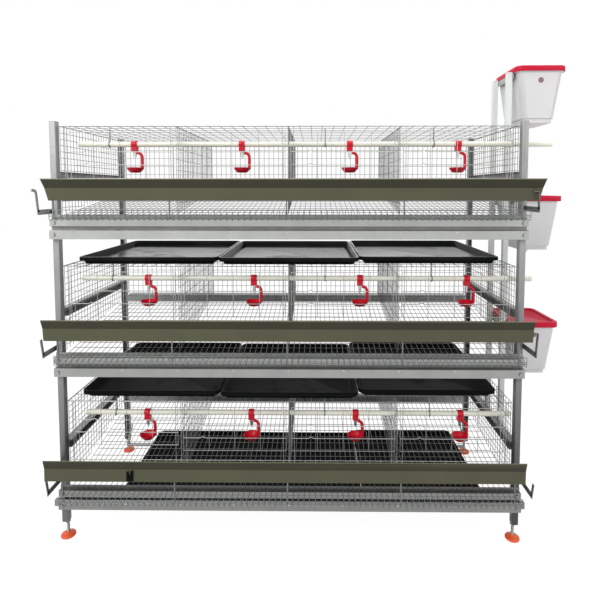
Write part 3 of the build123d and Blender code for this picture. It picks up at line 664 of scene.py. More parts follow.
def joined(name, pieces):
    """Several mesh pieces made into one, each keeping its material."""
    with bpy.context.temp_override(active_object=pieces[0], selected_editable_objects=pieces):
        bpy.ops.object.join()
    pieces[0].name = name
    return pieces[0]


def moved(piece, place):
    """Shift a piece's mesh to a place, so that the piece itself stays at the origin."""
    piece.data.transform(Matrix.Translation(place))
    return piece


def rounded_loop(shape, middle, half, inset, height, radius, steps):
    """Points round a rectangle with rounded corners, drawn in from its half sizes."""
    loop = []
    for corner, (side_x, side_y) in enumerate(((1, 1), (-1, 1), (-1, -1), (1, -1))):
        for step in range(steps + 1):
            angle = math.radians(90.0) * (corner + step / steps)
            x = middle.x + side_x * (half.x - inset - radius) + radius * math.cos(angle)
            y = middle.y + side_y * (half.y - inset - radius) + radius * math.sin(angle)
            loop.append(shape.verts.new((x, y, middle.z + height)))
    return loop


def moulded(name, levels, material, slot, steps=6):
    """Mould a node's closed shell through rounded rectangles, each an inset, a height and a radius."""
    first, last = corners(name)
    half = (last - first) / 2
    middle = Vector((first.x + half.x, first.y + half.y, first.z))
    shape = bmesh.new()
    loops = [rounded_loop(shape, middle, half, *level, steps) for level in levels(last.z - first.z)]
    count = len(loops[0])
    for lower, upper in zip(loops, loops[1:]):
        for spot in range(count):
            after = (spot + 1) % count
            shape.faces.new((lower[spot], lower[after], upper[after], upper[spot]))
    shape.faces.new(loops[0])
    shape.faces.new(loops[-1])
    dressed(finished(name + "_moulded", shape, material), name, slot, name)


def rounded_path(points, radius, steps=5):
    """A path's points, with an arc in place of each inner corner."""
    path = [Vector(points[0])]
    for before, corner, after in zip(points, points[1:], points[2:]):
        corner = Vector(corner)
        back = (Vector(before) - corner).normalized()
        ahead = (Vector(after) - corner).normalized()
        half = back.angle(ahead) / 2
        reach = radius / math.tan(half)
        middle = corner + (back + ahead).normalized() * (radius / math.sin(half))
        first = corner + back * reach - middle
        last = corner + ahead * reach - middle
        for step in range(steps + 1):
            path.append(middle + first.lerp(last, step / steps).normalized() * radius)
    path.append(Vector(points[-1]))
    return path


def bent_strip(shape, path, first, last, thick, upright=False):
    """Faces of a bent bar: a path with a thickness, carried from one place to another along X, or along Z."""
    rings = []
    for spot, point in enumerate(path):
        ahead = path[min(spot + 1, len(path) - 1)] - path[max(spot - 1, 0)]
        across = Vector((-ahead.y, ahead.x)).normalized() * thick / 2
        ring = []
        for side, way in ((first, 1), (last, 1), (last, -1), (first, -1)):
            edge = point + across * way
            ring.append(shape.verts.new((edge.x, edge.y, side) if upright else (side, edge.x, edge.y)))
        rings.append(ring)
    for ring, after in zip(rings, rings[1:]):
        for side in range(4):
            beside = (side + 1) % 4
            shape.faces.new((ring[side], ring[beside], after[beside], after[side]))
    shape.faces.new(rings[0])
    shape.faces.new(rings[-1])


def block(shape, first, last):
    """Faces of a plain block between two corners."""
    middle = (Vector(first) + Vector(last)) / 2
    size = Vector(last) - Vector(first)
    bmesh.ops.create_cube(shape, size=1.0, matrix=Matrix.Translation(middle) @ Matrix.Diagonal((*size, 1.0)))


def reshaped(name, place):
    """A copy of a CAD node's mesh as a piece, with each point moved by a rule."""
    mesh = NODES[name].data.copy()
    for vert in mesh.vertices:
        vert.co = place(vert.co)
    return shown(name + "_fitted", mesh)


def rounded_edges(piece, width):
    """Weld a piece's seams and round its edges."""
    weld = piece.modifiers.new("Weld", "WELD")
    weld.merge_threshold = SEAM
    bevel = piece.modifiers.new("Bevel", "BEVEL")
    bevel.width = width
    bevel.segments = 2
    bevel.limit_method = "ANGLE"
    bevel.angle_limit = ROUNDED


def evenly(start, stop, pitch):
    """Places from start to stop, both kept, as near to a pitch as divides evenly."""
    count = max(1, round((stop - start) / pitch))
    return [start + (stop - start) * step / count for step in range(count + 1)]


def along(y, z, left=NET_LEFT, right=NET_RIGHT):
    """A straight run along the cage."""
    return [(left, y, z), (right, y, z)]


def upward(x, y, bottom, top):
    """A straight run upward."""
    return [(x, y, bottom), (x, y, top)]


class CAGE_OT_nets(bpy.types.Operator):
    """Weld the floors with their egg lips, the roofs and all the walls."""

    bl_idname = "cage.nets"
    bl_label = "Nets"

    def floors(self, wires):
        """Runs of the three floors: lengthways wires that turn up at the front, and cross wires."""
        runs = []
        front = FLOOR_FRONT_Y
        rear = high("floor_nets").y
        lip = low("floor_nets").y + NET_PLATE / 2
        gauge = wires.floor_gauge
        for base in BASES:
            def up(y, more=0.0):
                return base + floor_height(y) - NET_PLATE / 2 + more

            foot = base + FLOOR_FRONT
            for x in evenly(CAGE_LEFT, NET_RIGHT, wires.floor_pitch):
                bend = (x, front + LIP_BACK, up(front, LIP_RISE))
                rise = upward(x, lip, foot + LIP_TURN, foot + EGG_LIP)
                runs.append((gauge, [(x, rear, up(rear)), bend, *rise]))
            for y in evenly(front + FIRST_CROSS, rear, wires.floor_cross):
                runs.append((gauge, along(y, up(y, gauge), CAGE_LEFT)))
            for height in LIP_WIRES:
                runs.append((gauge * LIP_GAUGE, along(lip + LIP_CROSSING, foot + height, CAGE_LEFT)))
        return runs

    def roofs(self, wires):
        """Runs of the three roofs."""
        runs = []
        front = low("roof_nets").y
        rear = high("roof_nets").y
        for base in BASES:
            z = base + ROOF
            for x in evenly(NET_LEFT, NET_RIGHT, wires.roof_pitch):
                runs.append((wires.net_gauge, [(x, front, z), (x, rear, z)]))
            for y in evenly(front, rear, wires.roof_pitch * ROOF_WIDER):
                runs.append((wires.net_gauge, along(y, z - CROSSING)))
        return runs

    def rears(self, wires):
        """Runs of the three rear walls."""
        runs = []
        for base in BASES:
            bottom = base + floor_height(REAR_Y)
            top = base + ROOF - NET_PLATE / 2
            for x in evenly(NET_LEFT, NET_RIGHT, wires.wall_pitch):
                runs.append((wires.net_gauge, upward(x, REAR_Y, bottom, top)))
            for z in evenly(bottom, top, wires.wall_cross):
                runs.append((wires.net_gauge, along(REAR_Y - REAR_CROSSING, z)))
        return runs

    def side_wall(self, wires, x, base, level):
        """Runs of one wall across the cage, cut off along the sloping floor."""
        runs = []
        front = GRILLE_Y + NET_PLATE
        rear = REAR_Y - NET_PLATE
        top = base + ROOF - NET_PLATE / 2
        for y in evenly(front, rear, wires.wall_pitch):
            runs.append((wires.net_gauge, upward(x, y, base + floor_height(y), top)))
        for z in evenly(base + floor_height(front), top, level):
            stop = min(rear, FLOOR_FRONT_Y + (z - base - FLOOR_FRONT) / FLOOR_SLOPE)
            if stop - front > wires.wall_pitch:
                runs.append((wires.net_gauge, [(x + CROSSING, front, z), (x + CROSSING, stop, z)]))
        return runs

    def execute(self, context):
        wires = context.scene.cage_wires
        nets = {
            "floor_nets": self.floors(wires),
            "roof_nets": self.roofs(wires),
            "rear_nets": self.rears(wires),
            "end_nets": [],
            "partition_nets": [],
        }
        for base in BASES:
            for x in (NET_LEFT, NET_RIGHT):
                nets["end_nets"] += self.side_wall(wires, x, base, wires.wall_pitch)
            for x in WALLS[1:-1]:
                nets["partition_nets"] += self.side_wall(wires, x, base, wires.wall_cross)
        for name, runs in nets.items():
            dressed(wire_piece(name + "_wire", runs, "Galvanised wire"), "cage", "galvanised_wire", name)
        return {"FINISHED"}


class CAGE_OT_fronts(bpy.types.Operator):
    """Weld the front grilles and the lifting gate of each cell."""

    bl_idname = "cage.fronts"
    bl_label = "Fronts and doors"

    stile: length("Stile spacing", "Spacing of the uprights beside a wall", 0.049)
    sill: length("Sill", "Height of the feed sill", 0.216)
    rungs: pair("Rungs", "Heights of a door's two bright wires above its foot", (0.060, 0.117))
    kink: length("Kink", "Rise of a door's catch", 0.007)

    def grille(self, wires):
        """Runs of the three front grilles."""
        runs = []
        gauge = wires.edge_gauge
        behind = GRILLE_Y + STILE_CROSSING
        for base in BASES:
            bottom = base + GRILLE_LOW + GRILLE_FOOT
            top = base + ROOF - NET_PLATE / 2
            for height in (GRILLE_LOW + GRILLE_FOOT, self.sill):
                runs.append((gauge * SILL_GAUGE, along(GRILLE_Y, base + height)))
            runs.append((gauge, along(GRILLE_Y, top)))
            for wall in WALLS:
                for offset in (-self.stile / 2, 0.0, self.stile / 2):
                    x = wall + offset
                    if NET_LEFT <= x <= NET_RIGHT:
                        runs.append((gauge * STILE_GAUGE, upward(x, behind, bottom, top)))
            for x in evenly(NET_LEFT, NET_RIGHT, self.stile):
                runs.append((wires.net_gauge, upward(x, behind, bottom, base + self.sill)))
        return runs

    def gate(self, wires, node):
        """Runs of one door: a frame, two bright wires with a catch, and uprights."""
        first, last = corners(node)
        y = (first.y + last.y) / 2
        gauge = wires.edge_gauge * DOOR_GAUGE
        half = gauge / 2
        catch = first.x + CATCH_ALONG * (last.x - first.x)
        runs = []
        for z in (first.z + half, last.z - half):
            runs.append((gauge * DOOR_EDGE, along(y, z, first.x, last.x)))
        for rung in self.rungs:
            z = first.z + rung
            kink = [(catch - CATCH_HALF, y, z), (catch, y, z + self.kink), (catch + CATCH_HALF, y, z)]
            runs.append((gauge, [(first.x, y, z), *kink, (last.x, y, z)]))
        for x in evenly(first.x + half, last.x - half, self.stile * DOOR_WIDER):
            runs.append((gauge * DOOR_UPRIGHT, upward(x, y, first.z, last.z)))
        return runs

    def execute(self, context):
        wires = context.scene.cage_wires
        grilles = wire_piece("front_grilles_wire", self.grille(wires), "Bright wire")
        dressed(grilles, "cage", "galvanised_wire", "front_grilles")
        for tier in TIERS:
            for cell in range(1, CELLS + 1):
                node = f"door_{tier}_{cell}"
                door = wire_piece(node + "_wire", self.gate(wires, node), "Bright wire")
                dressed(door, node, "galvanised_wire", node)
        return {"FINISHED"}


class CAGE_OT_drinkers(bpy.types.Operator):
    """Mould the drinkers' cups with their rolled rims and curved arms."""

    bl_idname = "cage.drinkers"
    bl_label = "Drinkers"

    cup: length("Cup", "Radius of a cup's rim", 0.039)
    depth: length("Depth", "Depth of a cup", 0.023)
    arm: length("Arm", "Thickness of a cup's arm", 0.014)
    drop: length("Drop", "Rim below the pipe", 0.105)
    seat: length("Seat", "Arm's start below the pipe", 0.038)

    def places(self):
        """The middle of each saddle on its pipe."""
        saddles = NODES["drinker_saddles"].data.vertices
        edges = sorted({round(vert.co.x, 4) for vert in saddles})
        half = (edges[1] - edges[0]) / 2
        places = []
        for pipe in PIPE:
            row = {round(vert.co.x, 4) for vert in saddles if abs(vert.co.z - pipe.z) < SADDLE_REACH}
            places.extend(Vector((x + half, pipe.y, pipe.z)) for x in sorted(row)[::2])
        return places

    def execute(self, context):
        places = self.places()
        radius = self.cup
        foot = radius * 0.6
        base = -self.drop - self.depth
        bowl = [
            (0.0, base),
            (foot * 0.8, base),
            (foot, base + 0.0012),
            (radius * 0.86, base + self.depth * 0.55),
            (radius * 0.97, base + self.depth * 0.90),
            (radius, -self.drop - 0.0008),
            (radius - 0.001, -self.drop),
            (radius - 0.0024, -self.drop - 0.0008),
            (radius * 0.80, base + self.depth * 0.58),
            (foot * 0.9, base + 0.0036),
            (0.0, base + 0.0030),
        ]
        cups = copied("cups", turned("cup", bowl, "Red plastic"), places, "Red plastic")
        side = radius + 0.001 - self.arm / 2
        path = [
            (0.010, -self.seat),
            (side * 0.52, -self.seat - 0.0015),
            (side * 0.82, -self.seat - 0.006),
            (side * 0.97, -self.seat - 0.015),
            (side, -self.seat - 0.027),
            (side * 0.985, -self.drop - self.depth * 0.3),
        ]
        runs = [(self.arm, [(spot.x + x, spot.y, spot.z + z) for x, z in path]) for spot in places]
        arms = wire_piece("arms", runs, "Red plastic", sides=12)
        dressed(joined("drinker_cups_moulded", [cups, arms]), "cage", "red_plastic", "drinker_cups")
        return {"FINISHED"}


class CAGE_OT_trays(bpy.types.Operator):
    """Mould the manure trays: sloping walls, rounded corners and a turned-down rim."""

    bl_idname = "cage.trays"
    bl_label = "Manure trays"

    rim: length("Rim", "Reach of the rim", 0.008)
    skirt: length("Skirt", "Depth of the rim's skirt", 0.017)
    taper: length("Taper", "Lean of the walls", 0.014)
    wall: length("Wall", "Thickness of the wall", 0.003)

    def levels(self, tall):
        """Insets, heights and corner radii, from the underside up over the rim and down to the floor."""
        rim, wall = self.rim, self.wall
        foot = rim + self.taper
        under = tall - wall
        return [
            (foot + 0.005, 0.0, 0.012),
            (foot + 0.001, 0.0012, 0.016),
            (foot - 0.001, 0.0045, 0.018),
            (rim + 0.001, under - 0.002, 0.024),
            (rim - 0.001, under, 0.025),
            (0.0028, under, 0.030),
            (0.0024, tall - self.skirt, 0.030),
            (0.0004, tall - self.skirt, 0.032),
            (0.0, tall - self.skirt + 0.001, 0.032),
            (0.0, tall - 0.0035, 0.032),
            (0.0010, tall - 0.0010, 0.031),
            (0.0035, tall, 0.029),
            (rim + wall - 0.0030, tall, 0.024),
            (rim + wall, tall - 0.0014, 0.022),
            (foot + wall - 0.002, wall + 0.0060, 0.018),
            (foot + wall + 0.001, wall + 0.0018, 0.015),
            (foot + wall + 0.006, wall, 0.010),
        ]

    def execute(self, context):
        for name in NODES:
            if name.startswith("manure_tray"):
                finish = "Wet tray plastic" if name.startswith("manure_tray_3") else "Tray plastic"
                moulded(name, self.levels, finish, "tray_plastic")
        return {"FINISHED"}


class CAGE_OT_runs(bpy.types.Operator):
    """Fit the ends of the troughs and of the lowest pipe, and the bars under the lowest trays."""

    bl_idname = "cage.runs"
    bl_label = "Troughs, pipe end and tray bars"

    back: length("Back", "Height of a trough's back", 0.020)
    bar: length("Bar", "Side of a tray bar", 0.012)
    flange: length("Flange", "Depth to a tray bar", 0.090)
    sheet: length("Sheet", "Thickness of a strap", 0.004)

    def tray_bars(self):
        """Two square bars that carry the lowest trays, each hung from both posts by a sloping strap."""
        first, last = corners("tray_rails")
        foot = last.z - self.bar
        shape = bmesh.new()
        for edge, arm in ((first.y, 1.0), (last.y, -1.0)):
            inner = edge + arm * self.flange
            near = sorted((inner - arm * self.bar, inner))
            block(shape, (NET_LEFT, near[0], foot), (NET_RIGHT, near[1], last.z))
            start = Vector((edge, BASES[0] + self.bar))
            stop = Vector((inner - arm * self.bar / 2, foot + self.bar / 2))
            for x in (NET_LEFT, NET_RIGHT - self.sheet):
                bent_strip(shape, [start, stop], x, x + self.sheet, self.bar)
        dressed(finished("tray_bars", shape, "Galvanised beam"), "cage", "galvanised_steel", "tray_rails")

    def execute(self, context):
        for tier, slant, tilt in zip(TIERS, TROUGH_SLANTS, TROUGH_LEANS):
            name = f"feed_trough_{tier}"
            first, last = corners(name)
            middle = (first.x + last.x) / 2
            lean = (SOLID_SLANT - slant) / (last.z - first.z)

            def squared(spot):
                up = min(spot.z, first.z + self.back) if spot.y > last.y - self.back else spot.z
                x = spot.x + math.copysign(lean * (last.z - spot.z), spot.x - middle)
                return Vector((x, spot.y + tilt * (up - first.z) / (last.z - first.z), up))

            trough = reshaped(name, squared)
            rounded_edges(trough, TROUGH_EDGE)
            dressed(trough, "cage", "trough_plastic", name)
        end = high("post_front_right").x - PIPE_SHORT
        pipe = reshaped("water_pipe_1", lambda spot: Vector((min(spot.x, end), spot.y, spot.z)))
        dressed(pipe, "cage", "pipe_plastic", "water_pipe_1")
        self.tray_bars()
        return {"FINISHED"}


class CAGE_OT_posts(bpy.types.Operator):
    """Fold the four posts: slim channels with their webs outward, each on a foot plate."""

    bl_idname = "cage.posts"
    bl_label = "Posts"

    face: length("Face", "Width of a post's web", 0.028)
    depth: length("Depth", "Depth of a post's flanges", 0.030)
    sheet: length("Sheet", "Thickness of the sheet", 0.002)
    bend: length("Bend", "Radius of the folds", 0.003)

    def execute(self, context):
        for name in NODES:
            if not name.startswith("post_"):
                continue
            first, last = corners(name)
            half = self.sheet / 2
            inward = 1.0 if name.endswith("left") else -1.0
            behind = 1.0 if "front" in name else -1.0
            outer = (first.x if inward > 0 else last.x) + inward * half
            web = (first.y if behind > 0 else last.y) + behind * half
            inner = outer + inward * (self.face - self.sheet)
            edge = web + behind * (self.depth - half)
            shape = bmesh.new()
            path = rounded_path([(outer, edge), (outer, web), (inner, web), (inner, edge)], self.bend)
            bent_strip(shape, path, first.z, last.z, self.sheet, upright=True)
            block(shape, (outer, web, first.z), (inner, edge, first.z + self.sheet))
            # The right-hand posts take a darker copy of the steel: painted shade for light from the left.
            finish = "Galvanised post" if inward > 0 else "Dull post"
            dressed(finished(name + "_folded", shape, finish), "cage", "galvanised_post", name)
        return {"FINISHED"}


class CAGE_OT_brackets(bpy.types.Operator):
    """Cut the flat bars that run out from the posts and rise beside the troughs' ends to a hook."""

    bl_idname = "cage.brackets"
    bl_label = "Trough brackets"

    reach: pair("Reach", "Front of the bar's turn, left and right", (0.088, 0.104))
    lean: pair("Lean", "Forward lean of the rising bar, left and right", (0.014, 0.014))
    arm_up: pair("Arm up", "Middle of the arm above its beam, left and right", (0.120, 0.134))
    arm: length("Arm", "Height of the level arm", 0.022)
    bar: length("Bar", "Width of the rising bar", 0.012)
    rise: length("Rise", "Hook above the trough's foot", 0.040)
    curl: length("Curl", "Forward end of the left hook", 0.030)
    hook: length("Hook", "Sideways end of a right hook", 0.020)
    inset: length("Inset", "How far inward the top right bar stands", 0.017)
    facing: length("Facing", "Reach of the top right bar, before the trough", 0.129)
    thick: length("Thick", "Thickness of the bar", 0.004)

    def execute(self, context):
        rear = high("trough_brackets").y
        starts = (low("post_front_left").x - 2 * self.thick, high("post_front_right").x + self.thick)
        shapes = (bmesh.new(), bmesh.new())
        for tier, base, slant in zip(TIERS, BASES, TROUGH_SLANTS):
            foot, lip = corners(f"feed_trough_{tier}")
            end = lip.x - slant * (lip.z - foot.z - self.rise) / (lip.z - foot.z)
            for side, start in enumerate(starts):
                shape = shapes[side]
                before = side == 1 and tier == TIERS[-1]
                left = start - (self.inset if before else 0.0)
                right = left + self.thick
                hooked = tier >= HOOKED_FROM[side]
                top = foot.z + (self.rise if hooked else 0.0)
                level = base + self.arm_up[side]
                front = POST_FRONT - (self.facing if before else self.reach[side])
                tip = front - (0.0 if before else self.lean[side])
                arm = [Vector((rear, level)), Vector((front - self.bar / 2, level))]
                bent_strip(shape, arm, left, right, self.arm)
                rise = [(front, level), (tip, top)]
                if hooked and side == 0:
                    rise.append((tip - self.curl, top + self.bar / 4))
                bent_strip(shape, rounded_path(rise, self.bar), left, right, self.bar)
                if hooked and side == 1:
                    gap = left - end - self.thick
                    hook = left - (self.hook if before else max(0.0, min(self.hook, gap)))
                    half = self.bar / 2
                    block(shape, (hook, tip - half, top - self.thick), (right, tip + half, top))
        bars = finished("trough_brackets_cut", shapes[0], "Galvanised post")
        dressed(bars, "cage", "galvanised_steel", "trough_brackets")
        # The right-hand bars take a darker copy of the steel: painted shade.
        dressed(finished("trough_brackets_dark", shapes[1], "Dark bar"), "cage", "galvanised_steel")
        return {"FINISHED"}


class CAGE_OT_trims(bpy.types.Operator):
    """Add the troughs' beads, made pale as a painted highlight, the lowest trough's clip, and the front
    beams' rivets and lowest rail.
    """

    bl_idname = "cage.trims"
    bl_label = "Beads, clip, rivets and rail"

    bead: length("Bead", "Thickness of the lip's bead", 0.0042)
    rivet: length("Rivet", "Radius of a rivet", 0.0040)
    rivet_up: length("Rivet up", "Above the beam's foot", 0.030)
    rail: length("Rail", "Thickness of the rail", 0.002)
    rail_low: length("Rail low", "Rail's lower edge", 0.019)
    rail_high: length("Rail high", "Rail's upper edge", 0.047)
    rail_deep: length("Rail deep", "Depth of its flange", 0.016)
    rail_past: pair("Rail past", "Past the beam's ends, left and right", (0.015, 0.014))
    clip_along: length("Clip", "Clip from the left end", 0.372)

    def beads(self):
        """A bead along the lip of each trough, made pale as a painted highlight."""
        runs = []
        for tier, tilt in zip(TIERS, TROUGH_LEANS):
            first, last = corners(f"feed_trough_{tier}")
            half = self.bead / 2
            runs.append((self.bead, along(first.y + tilt + half, last.z - half, first.x, last.x)))
        dressed(wire_piece("trough_beads", runs, "Bead plastic", sides=10), "cage", "trough_plastic")

    def rivets(self, face):
        """Rivets along the front beams, on the rail where there is one."""
        radius = self.rivet
        dome = [(0.0, -0.0014), (radius * 0.5, -0.0012), (radius * 0.85, -0.0007), (radius, 0.0), (0.0, 0.0)]
        places = []
        for base in BASES:
            y = face - (self.rail if base == BASES[0] else 0.0)
            for x in evenly(CAGE_LEFT + CELL_PITCH / 2, CAGE_RIGHT - CELL_PITCH / 2, CELL_PITCH / 2):
                places.append((x, y, base + self.rivet_up))
        studs("beam_rivets", dome, 14, places, "Turned steel", "valve_steel")

    def rail_strip(self, face):
        """A folded rail along the lowest front beam, longer than the beam."""
        foot = BASES[0] + self.rail_low
        top = BASES[0] + self.rail_high
        path = rounded_path([(face, foot), (face, top), (face + self.rail_deep, top)], self.rail)
        shape = bmesh.new()
        left = low("front_beams").x - self.rail_past[0]
        bent_strip(shape, path, left, high("front_beams").x + self.rail_past[1], self.rail)
        dressed(finished("egg_rail", shape, "Galvanised beam"), "cage", "galvanised_steel")

    def clip(self):
        """A dark clip with two prongs, on the face of the lowest trough."""
        first = low("feed_trough_1")
        middle = first.x + self.clip_along
        shape = bmesh.new()
        for left, right, foot, top in CLIP_LEAVES:
            path = [Vector((first.y + CLIP_BACK + CLIP_LEAN * up, first.z + up)) for up in (foot, top)]
            bent_strip(shape, path, middle + left, middle + right, CLIP_THICK)
        dressed(finished("trough_clip", shape, "Tray plastic"), "cage", "tray_plastic")

    def execute(self, context):
        face = low("front_beams").y
        self.beads()
        self.rivets(face)
        self.rail_strip(face - self.rail / 2)
        self.clip()
        return {"FINISHED"}


class CAGE_OT_lids(bpy.types.Operator):
    """Mould the tank lids: a rounded rim all round and a panel sunk below it."""

    bl_idname = "cage.lids"
    bl_label = "Tank lids"

    wall: length("Wall", "Thickness of the lid", 0.003)
    seat: length("Seat", "Underside above the skirt's foot", 0.0167)
    rim: length("Rim", "Width of the raised rim", 0.018)
    sunk: length("Sunk", "Depth of the panel", 0.010)
    corner: length("Corner", "Radius of the corners", 0.036)

    def levels(self, tall):
        """Insets, heights and corner radii, from the underside down, round the skirt and over the rim."""
        wall, seat, rim = self.wall, self.seat, self.rim
        panel = tall - self.sunk
        steps = [
            (rim + 0.008, panel - wall),
            (rim, panel - wall),
            (rim - 0.001, panel - wall + 0.0015),
            (rim - 0.001, seat),
            (wall + 0.0015, seat),
            (wall, seat - 0.0015),
            (wall, 0.0006),
            (wall - 0.0006, 0.0),
            (0.0006, 0.0),
            (0.0, 0.0008),
            (0.0, tall - 0.0045),
            (0.0012, tall - 0.0014),
            (0.0042, tall),
            (rim - 0.0015, tall),
            (rim + 0.0010, tall - 0.0012),
            (rim + 0.0025, panel + 0.0020),
            (rim + 0.0055, panel),
        ]
        return [(inset, height, self.corner - inset) for inset, height in steps]

    def execute(self, context):
        for tier in TIERS:
            name = f"tank_lid_{tier}"
            moulded(name, self.levels, "Lid plastic", "lid_plastic")
        return {"FINISHED"}


class CAGE_OT_floats(bpy.types.Operator):
    """Fit the float's boss in the round hole at the front of each tank."""

    bl_idname = "cage.floats"
    bl_label = "Tank floats"

    boss: length("Boss", "Radius of a boss", 0.0125)
    down: length("Down", "Boss below the rim", 0.056)

    def execute(self, context):
        radius = self.boss
        places = []
        for tier in TIERS:
            node = f"water_tank_{tier}"
            middle = (low(node) + high(node)) / 2
            up = high(node).z - self.down
            spots = [vert.co for vert in NODES[node].data.vertices if abs(vert.co.x - middle.x) < radius]
            places.append((middle.x, min(spot.y for spot in spots if abs(spot.z - up) < radius), up))
        dome = [(0.0, -0.0010), (radius * 0.62, -0.0010), (radius * 0.68, -0.0022), (radius * 0.90, -0.0020)]
        dome += [(radius, -0.0008), (radius, 0.0010), (0.0, 0.0010)]
        studs("float_bosses", dome, 24, places, "Float plastic", "tank_plastic")
        return {"FINISHED"}


class CAGE_OT_feet(bpy.types.Operator):
    """Turn the levelling feet: an orange pad on a threaded steel stem with its nut."""

    bl_idname = "cage.feet"
    bl_label = "Levelling feet"

    thread: length("Thread", "Pitch of the thread", 0.0025)
    stem: length("Stem", "Radius of the screw stem", 0.0064)

    def pad(self, radius):
        """Radii and heights of a foot's pad."""
        return [
            (0.0, 0.0),
            (radius - 0.002, 0.0),
            (radius, 0.002),
            (radius, 0.006),
            (radius - 0.0015, 0.0085),
            (radius * 0.80, 0.0110),
            (radius * 0.45, 0.0128),
            (radius * 0.34, 0.0150),
            (radius * 0.30, 0.0190),
            (0.0, 0.0195),
        ]

    def screw(self, top):
        """Radii and heights of a threaded stem, from inside its pad up."""
        height = SCREW_FOOT
        profile = [(0.0, height)]
        while height < top - self.thread:
            profile.append((self.stem - THREAD_DEEP, height))
            profile.append((self.stem, height + self.thread / 2))
            height += self.thread
        profile.append((0.0, top))
        return profile

    def nut(self, plate):
        """Radii and heights of the nut below a post's foot plate."""
        profile = [(self.stem, plate - 0.0083), (0.0110, plate - 0.0083), (0.0122, plate - 0.0068)]
        profile += [(0.0122, plate - 0.0018), (0.0110, plate - 0.0004), (self.stem, plate - 0.0004)]
        return profile

    def execute(self, context):
        for corner in ("front_left", "front_right", "rear_left", "rear_right"):
            node = "foot_" + corner
            first, last = corners(node)
            spot = Vector(((first.x + last.x) / 2, (first.y + last.y) / 2, 0.0))
            stem = turned("stem", self.screw(last.z), "Screw steel", sides=18)
            nut = turned("nut", self.nut(low("post_" + corner).z), "Screw steel", sides=6)
            pad = turned(node + "_pad", self.pad((last.x - first.x) / 2), "Foot plastic")
            dressed(moved(pad, spot), node, "foot_plastic", node)
            dressed(moved(joined(node + "_stem", [stem, nut]), spot), node, "valve_steel")
        return {"FINISHED"}


class CAGE_OT_edges(bpy.types.Operator):
    """Round the sheet-metal and moulded edges of the kept CAD nodes."""

    bl_idname = "cage.edges"
    bl_label = "Rounded edges"

    def execute(self, context):
        for name, node in NODES.items():
            for start, width in EDGE_WIDTHS.items():
                if name.startswith(start):
                    rounded_edges(node, width)
        return {"FINISHED"}


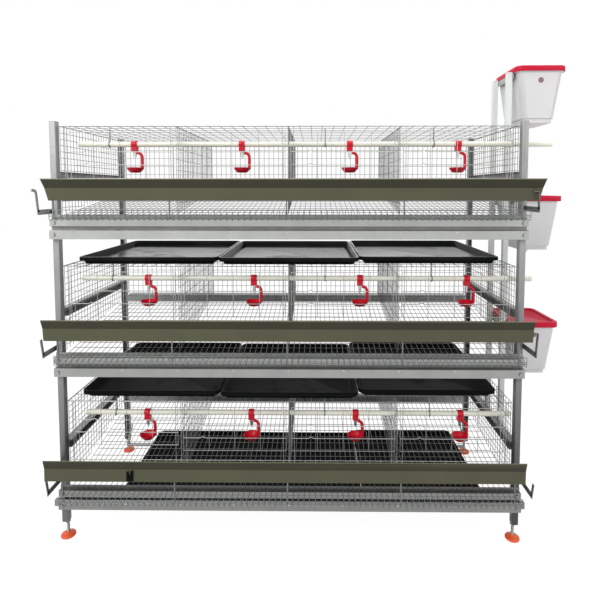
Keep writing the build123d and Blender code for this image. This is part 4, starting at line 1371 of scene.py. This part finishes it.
class CAGE_OT_stage(bpy.types.Operator):
    """Set the floor, the lamps, the sky and the camera."""

    bl_idname = "cage.stage"
    bl_label = "Stage and camera"

    focal_px: bpy.props.FloatProperty(name="Focal length", description="In the image's pixels", default=470.0)

    def direct_rays(self, tree):
        """A mask of 1 for what the camera sees, straight on, mirrored or through glass."""
        rays = added(tree, "ShaderNodeLightPath")
        mask = rays.outputs["Is Camera Ray"]
        for kind in ("Is Glossy Ray", "Is Transmission Ray"):
            either = added(tree, "ShaderNodeMath", operation="MAXIMUM")
            tree.links.new(mask, either.inputs[0])
            linked(tree, (rays, kind, either, 1))
            mask = either.outputs["Value"]
        return mask

    def floor(self):
        """A pale floor that looks white to the camera and still takes shadows."""
        bpy.ops.mesh.primitive_plane_add(size=FLOOR_SIZE, location=(0.0, 0.0, 0.0))
        ground = bpy.context.object
        ground.name = "floor"
        material, shader = new_material("Pale floor")
        shader.inputs["Base Color"].default_value = (0.80, 0.80, 0.80, 1.0)
        tree = material.node_tree
        shade = added(tree, "ShaderNodeTexNoise", {"Scale": 1.2})
        tree.links.new(ranged(material, shade.outputs["Fac"], 0.86, 0.94), shader.inputs["Roughness"])
        white = added(tree, "ShaderNodeEmission", {"Strength": FLOOR_GLOW})
        veil = added(tree, "ShaderNodeMath", {1: FLOOR_VEIL}, operation="MULTIPLY")
        both = added(tree, "ShaderNodeMixShader")
        tree.links.new(self.direct_rays(tree), veil.inputs[0])
        linked(
            tree,
            (veil, "Value", both, "Fac"),
            (shader, "BSDF", both, 1),
            (white, "Emission", both, 2),
            (both, "Shader", tree.nodes["Material Output"], "Surface"),
        )
        ground.data.materials.append(material)

    def lamp(self, name, place, size, power):
        """One soft area lamp aimed at the cage."""
        data = bpy.data.lights.new(name, "AREA")
        data.shape = "RECTANGLE"
        data.size, data.size_y = size
        data.energy = power
        lamp = shown(name, data)
        lamp.location = place
        lamp.rotation_euler = (Vector(LIT_POINT) - Vector(place)).to_track_quat("-Z", "Y").to_euler()

    def sky(self):
        """A white surround, at a plain level for the object's own light."""
        world = bpy.data.worlds.new("Studio")
        bpy.context.scene.world = world
        world.use_nodes = True
        glow = world.node_tree.nodes["Background"]
        glow.inputs["Color"].default_value = (1.0, 1.0, 1.0, 1.0)
        level = ranged(world, self.direct_rays(world.node_tree), SKY_LIGHT, 1.0)
        world.node_tree.links.new(level, glow.inputs["Strength"])

    def camera(self):
        """The photograph's viewpoint: a standing person a little right of the middle."""
        data = bpy.data.cameras.new("Camera")
        data.sensor_width = 36.0
        data.lens = self.focal_px / IMAGE_WIDTH * data.sensor_width
        data.shift_x, data.shift_y = CAMERA_SHIFT
        camera = shown("Camera", data)
        camera.location = CAMERA_PLACE
        camera.rotation_euler = CAMERA_TURN
        bpy.context.scene.camera = camera

    def execute(self, context):
        context.scene.view_settings.view_transform = "Standard"
        self.floor()
        for name, settings in LAMPS.items():
            self.lamp(name, *settings)
        self.sky()
        self.camera()
        return {"FINISHED"}


class CAGE_PT_sidebar(bpy.types.Panel):
    """The cage's operators and sizes."""

    bl_label = "Battery cage"
    bl_idname = "CAGE_PT_sidebar"
    bl_space_type = "VIEW_3D"
    bl_region_type = "UI"
    bl_category = "Cage"

    def draw(self, context):
        for step in STEPS:
            self.layout.operator(step.bl_idname)
        for group in (context.scene.cage_wires, context.scene.cage_colours):
            for name in group.__annotations__:
                self.layout.prop(group, name)


STEPS = (
    CAGE_OT_finishes,
    CAGE_OT_nets,
    CAGE_OT_fronts,
    CAGE_OT_drinkers,
    CAGE_OT_trays,
    CAGE_OT_runs,
    CAGE_OT_posts,
    CAGE_OT_brackets,
    CAGE_OT_trims,
    CAGE_OT_lids,
    CAGE_OT_floats,
    CAGE_OT_feet,
    CAGE_OT_edges,
    CAGE_OT_stage,
)
CLASSES = (CageWires, CageColours, *STEPS, CAGE_PT_sidebar)


def register():
    """Register the classes and hang the settings on the scene."""
    for item in CLASSES:
        bpy.utils.register_class(item)
    bpy.types.Scene.cage_wires = bpy.props.PointerProperty(type=CageWires)
    bpy.types.Scene.cage_colours = bpy.props.PointerProperty(type=CageColours)


def unregister():
    """Take the settings and classes away again."""
    del bpy.types.Scene.cage_colours
    del bpy.types.Scene.cage_wires
    for item in reversed(CLASSES):
        bpy.utils.unregister_class(item)


def main():
    """Dress the frame, step by step."""
    register()
    for step in STEPS:
        group, name = step.bl_idname.split(".")
        getattr(getattr(bpy.ops, group), name)()


if __name__ == "__main__":
    main()
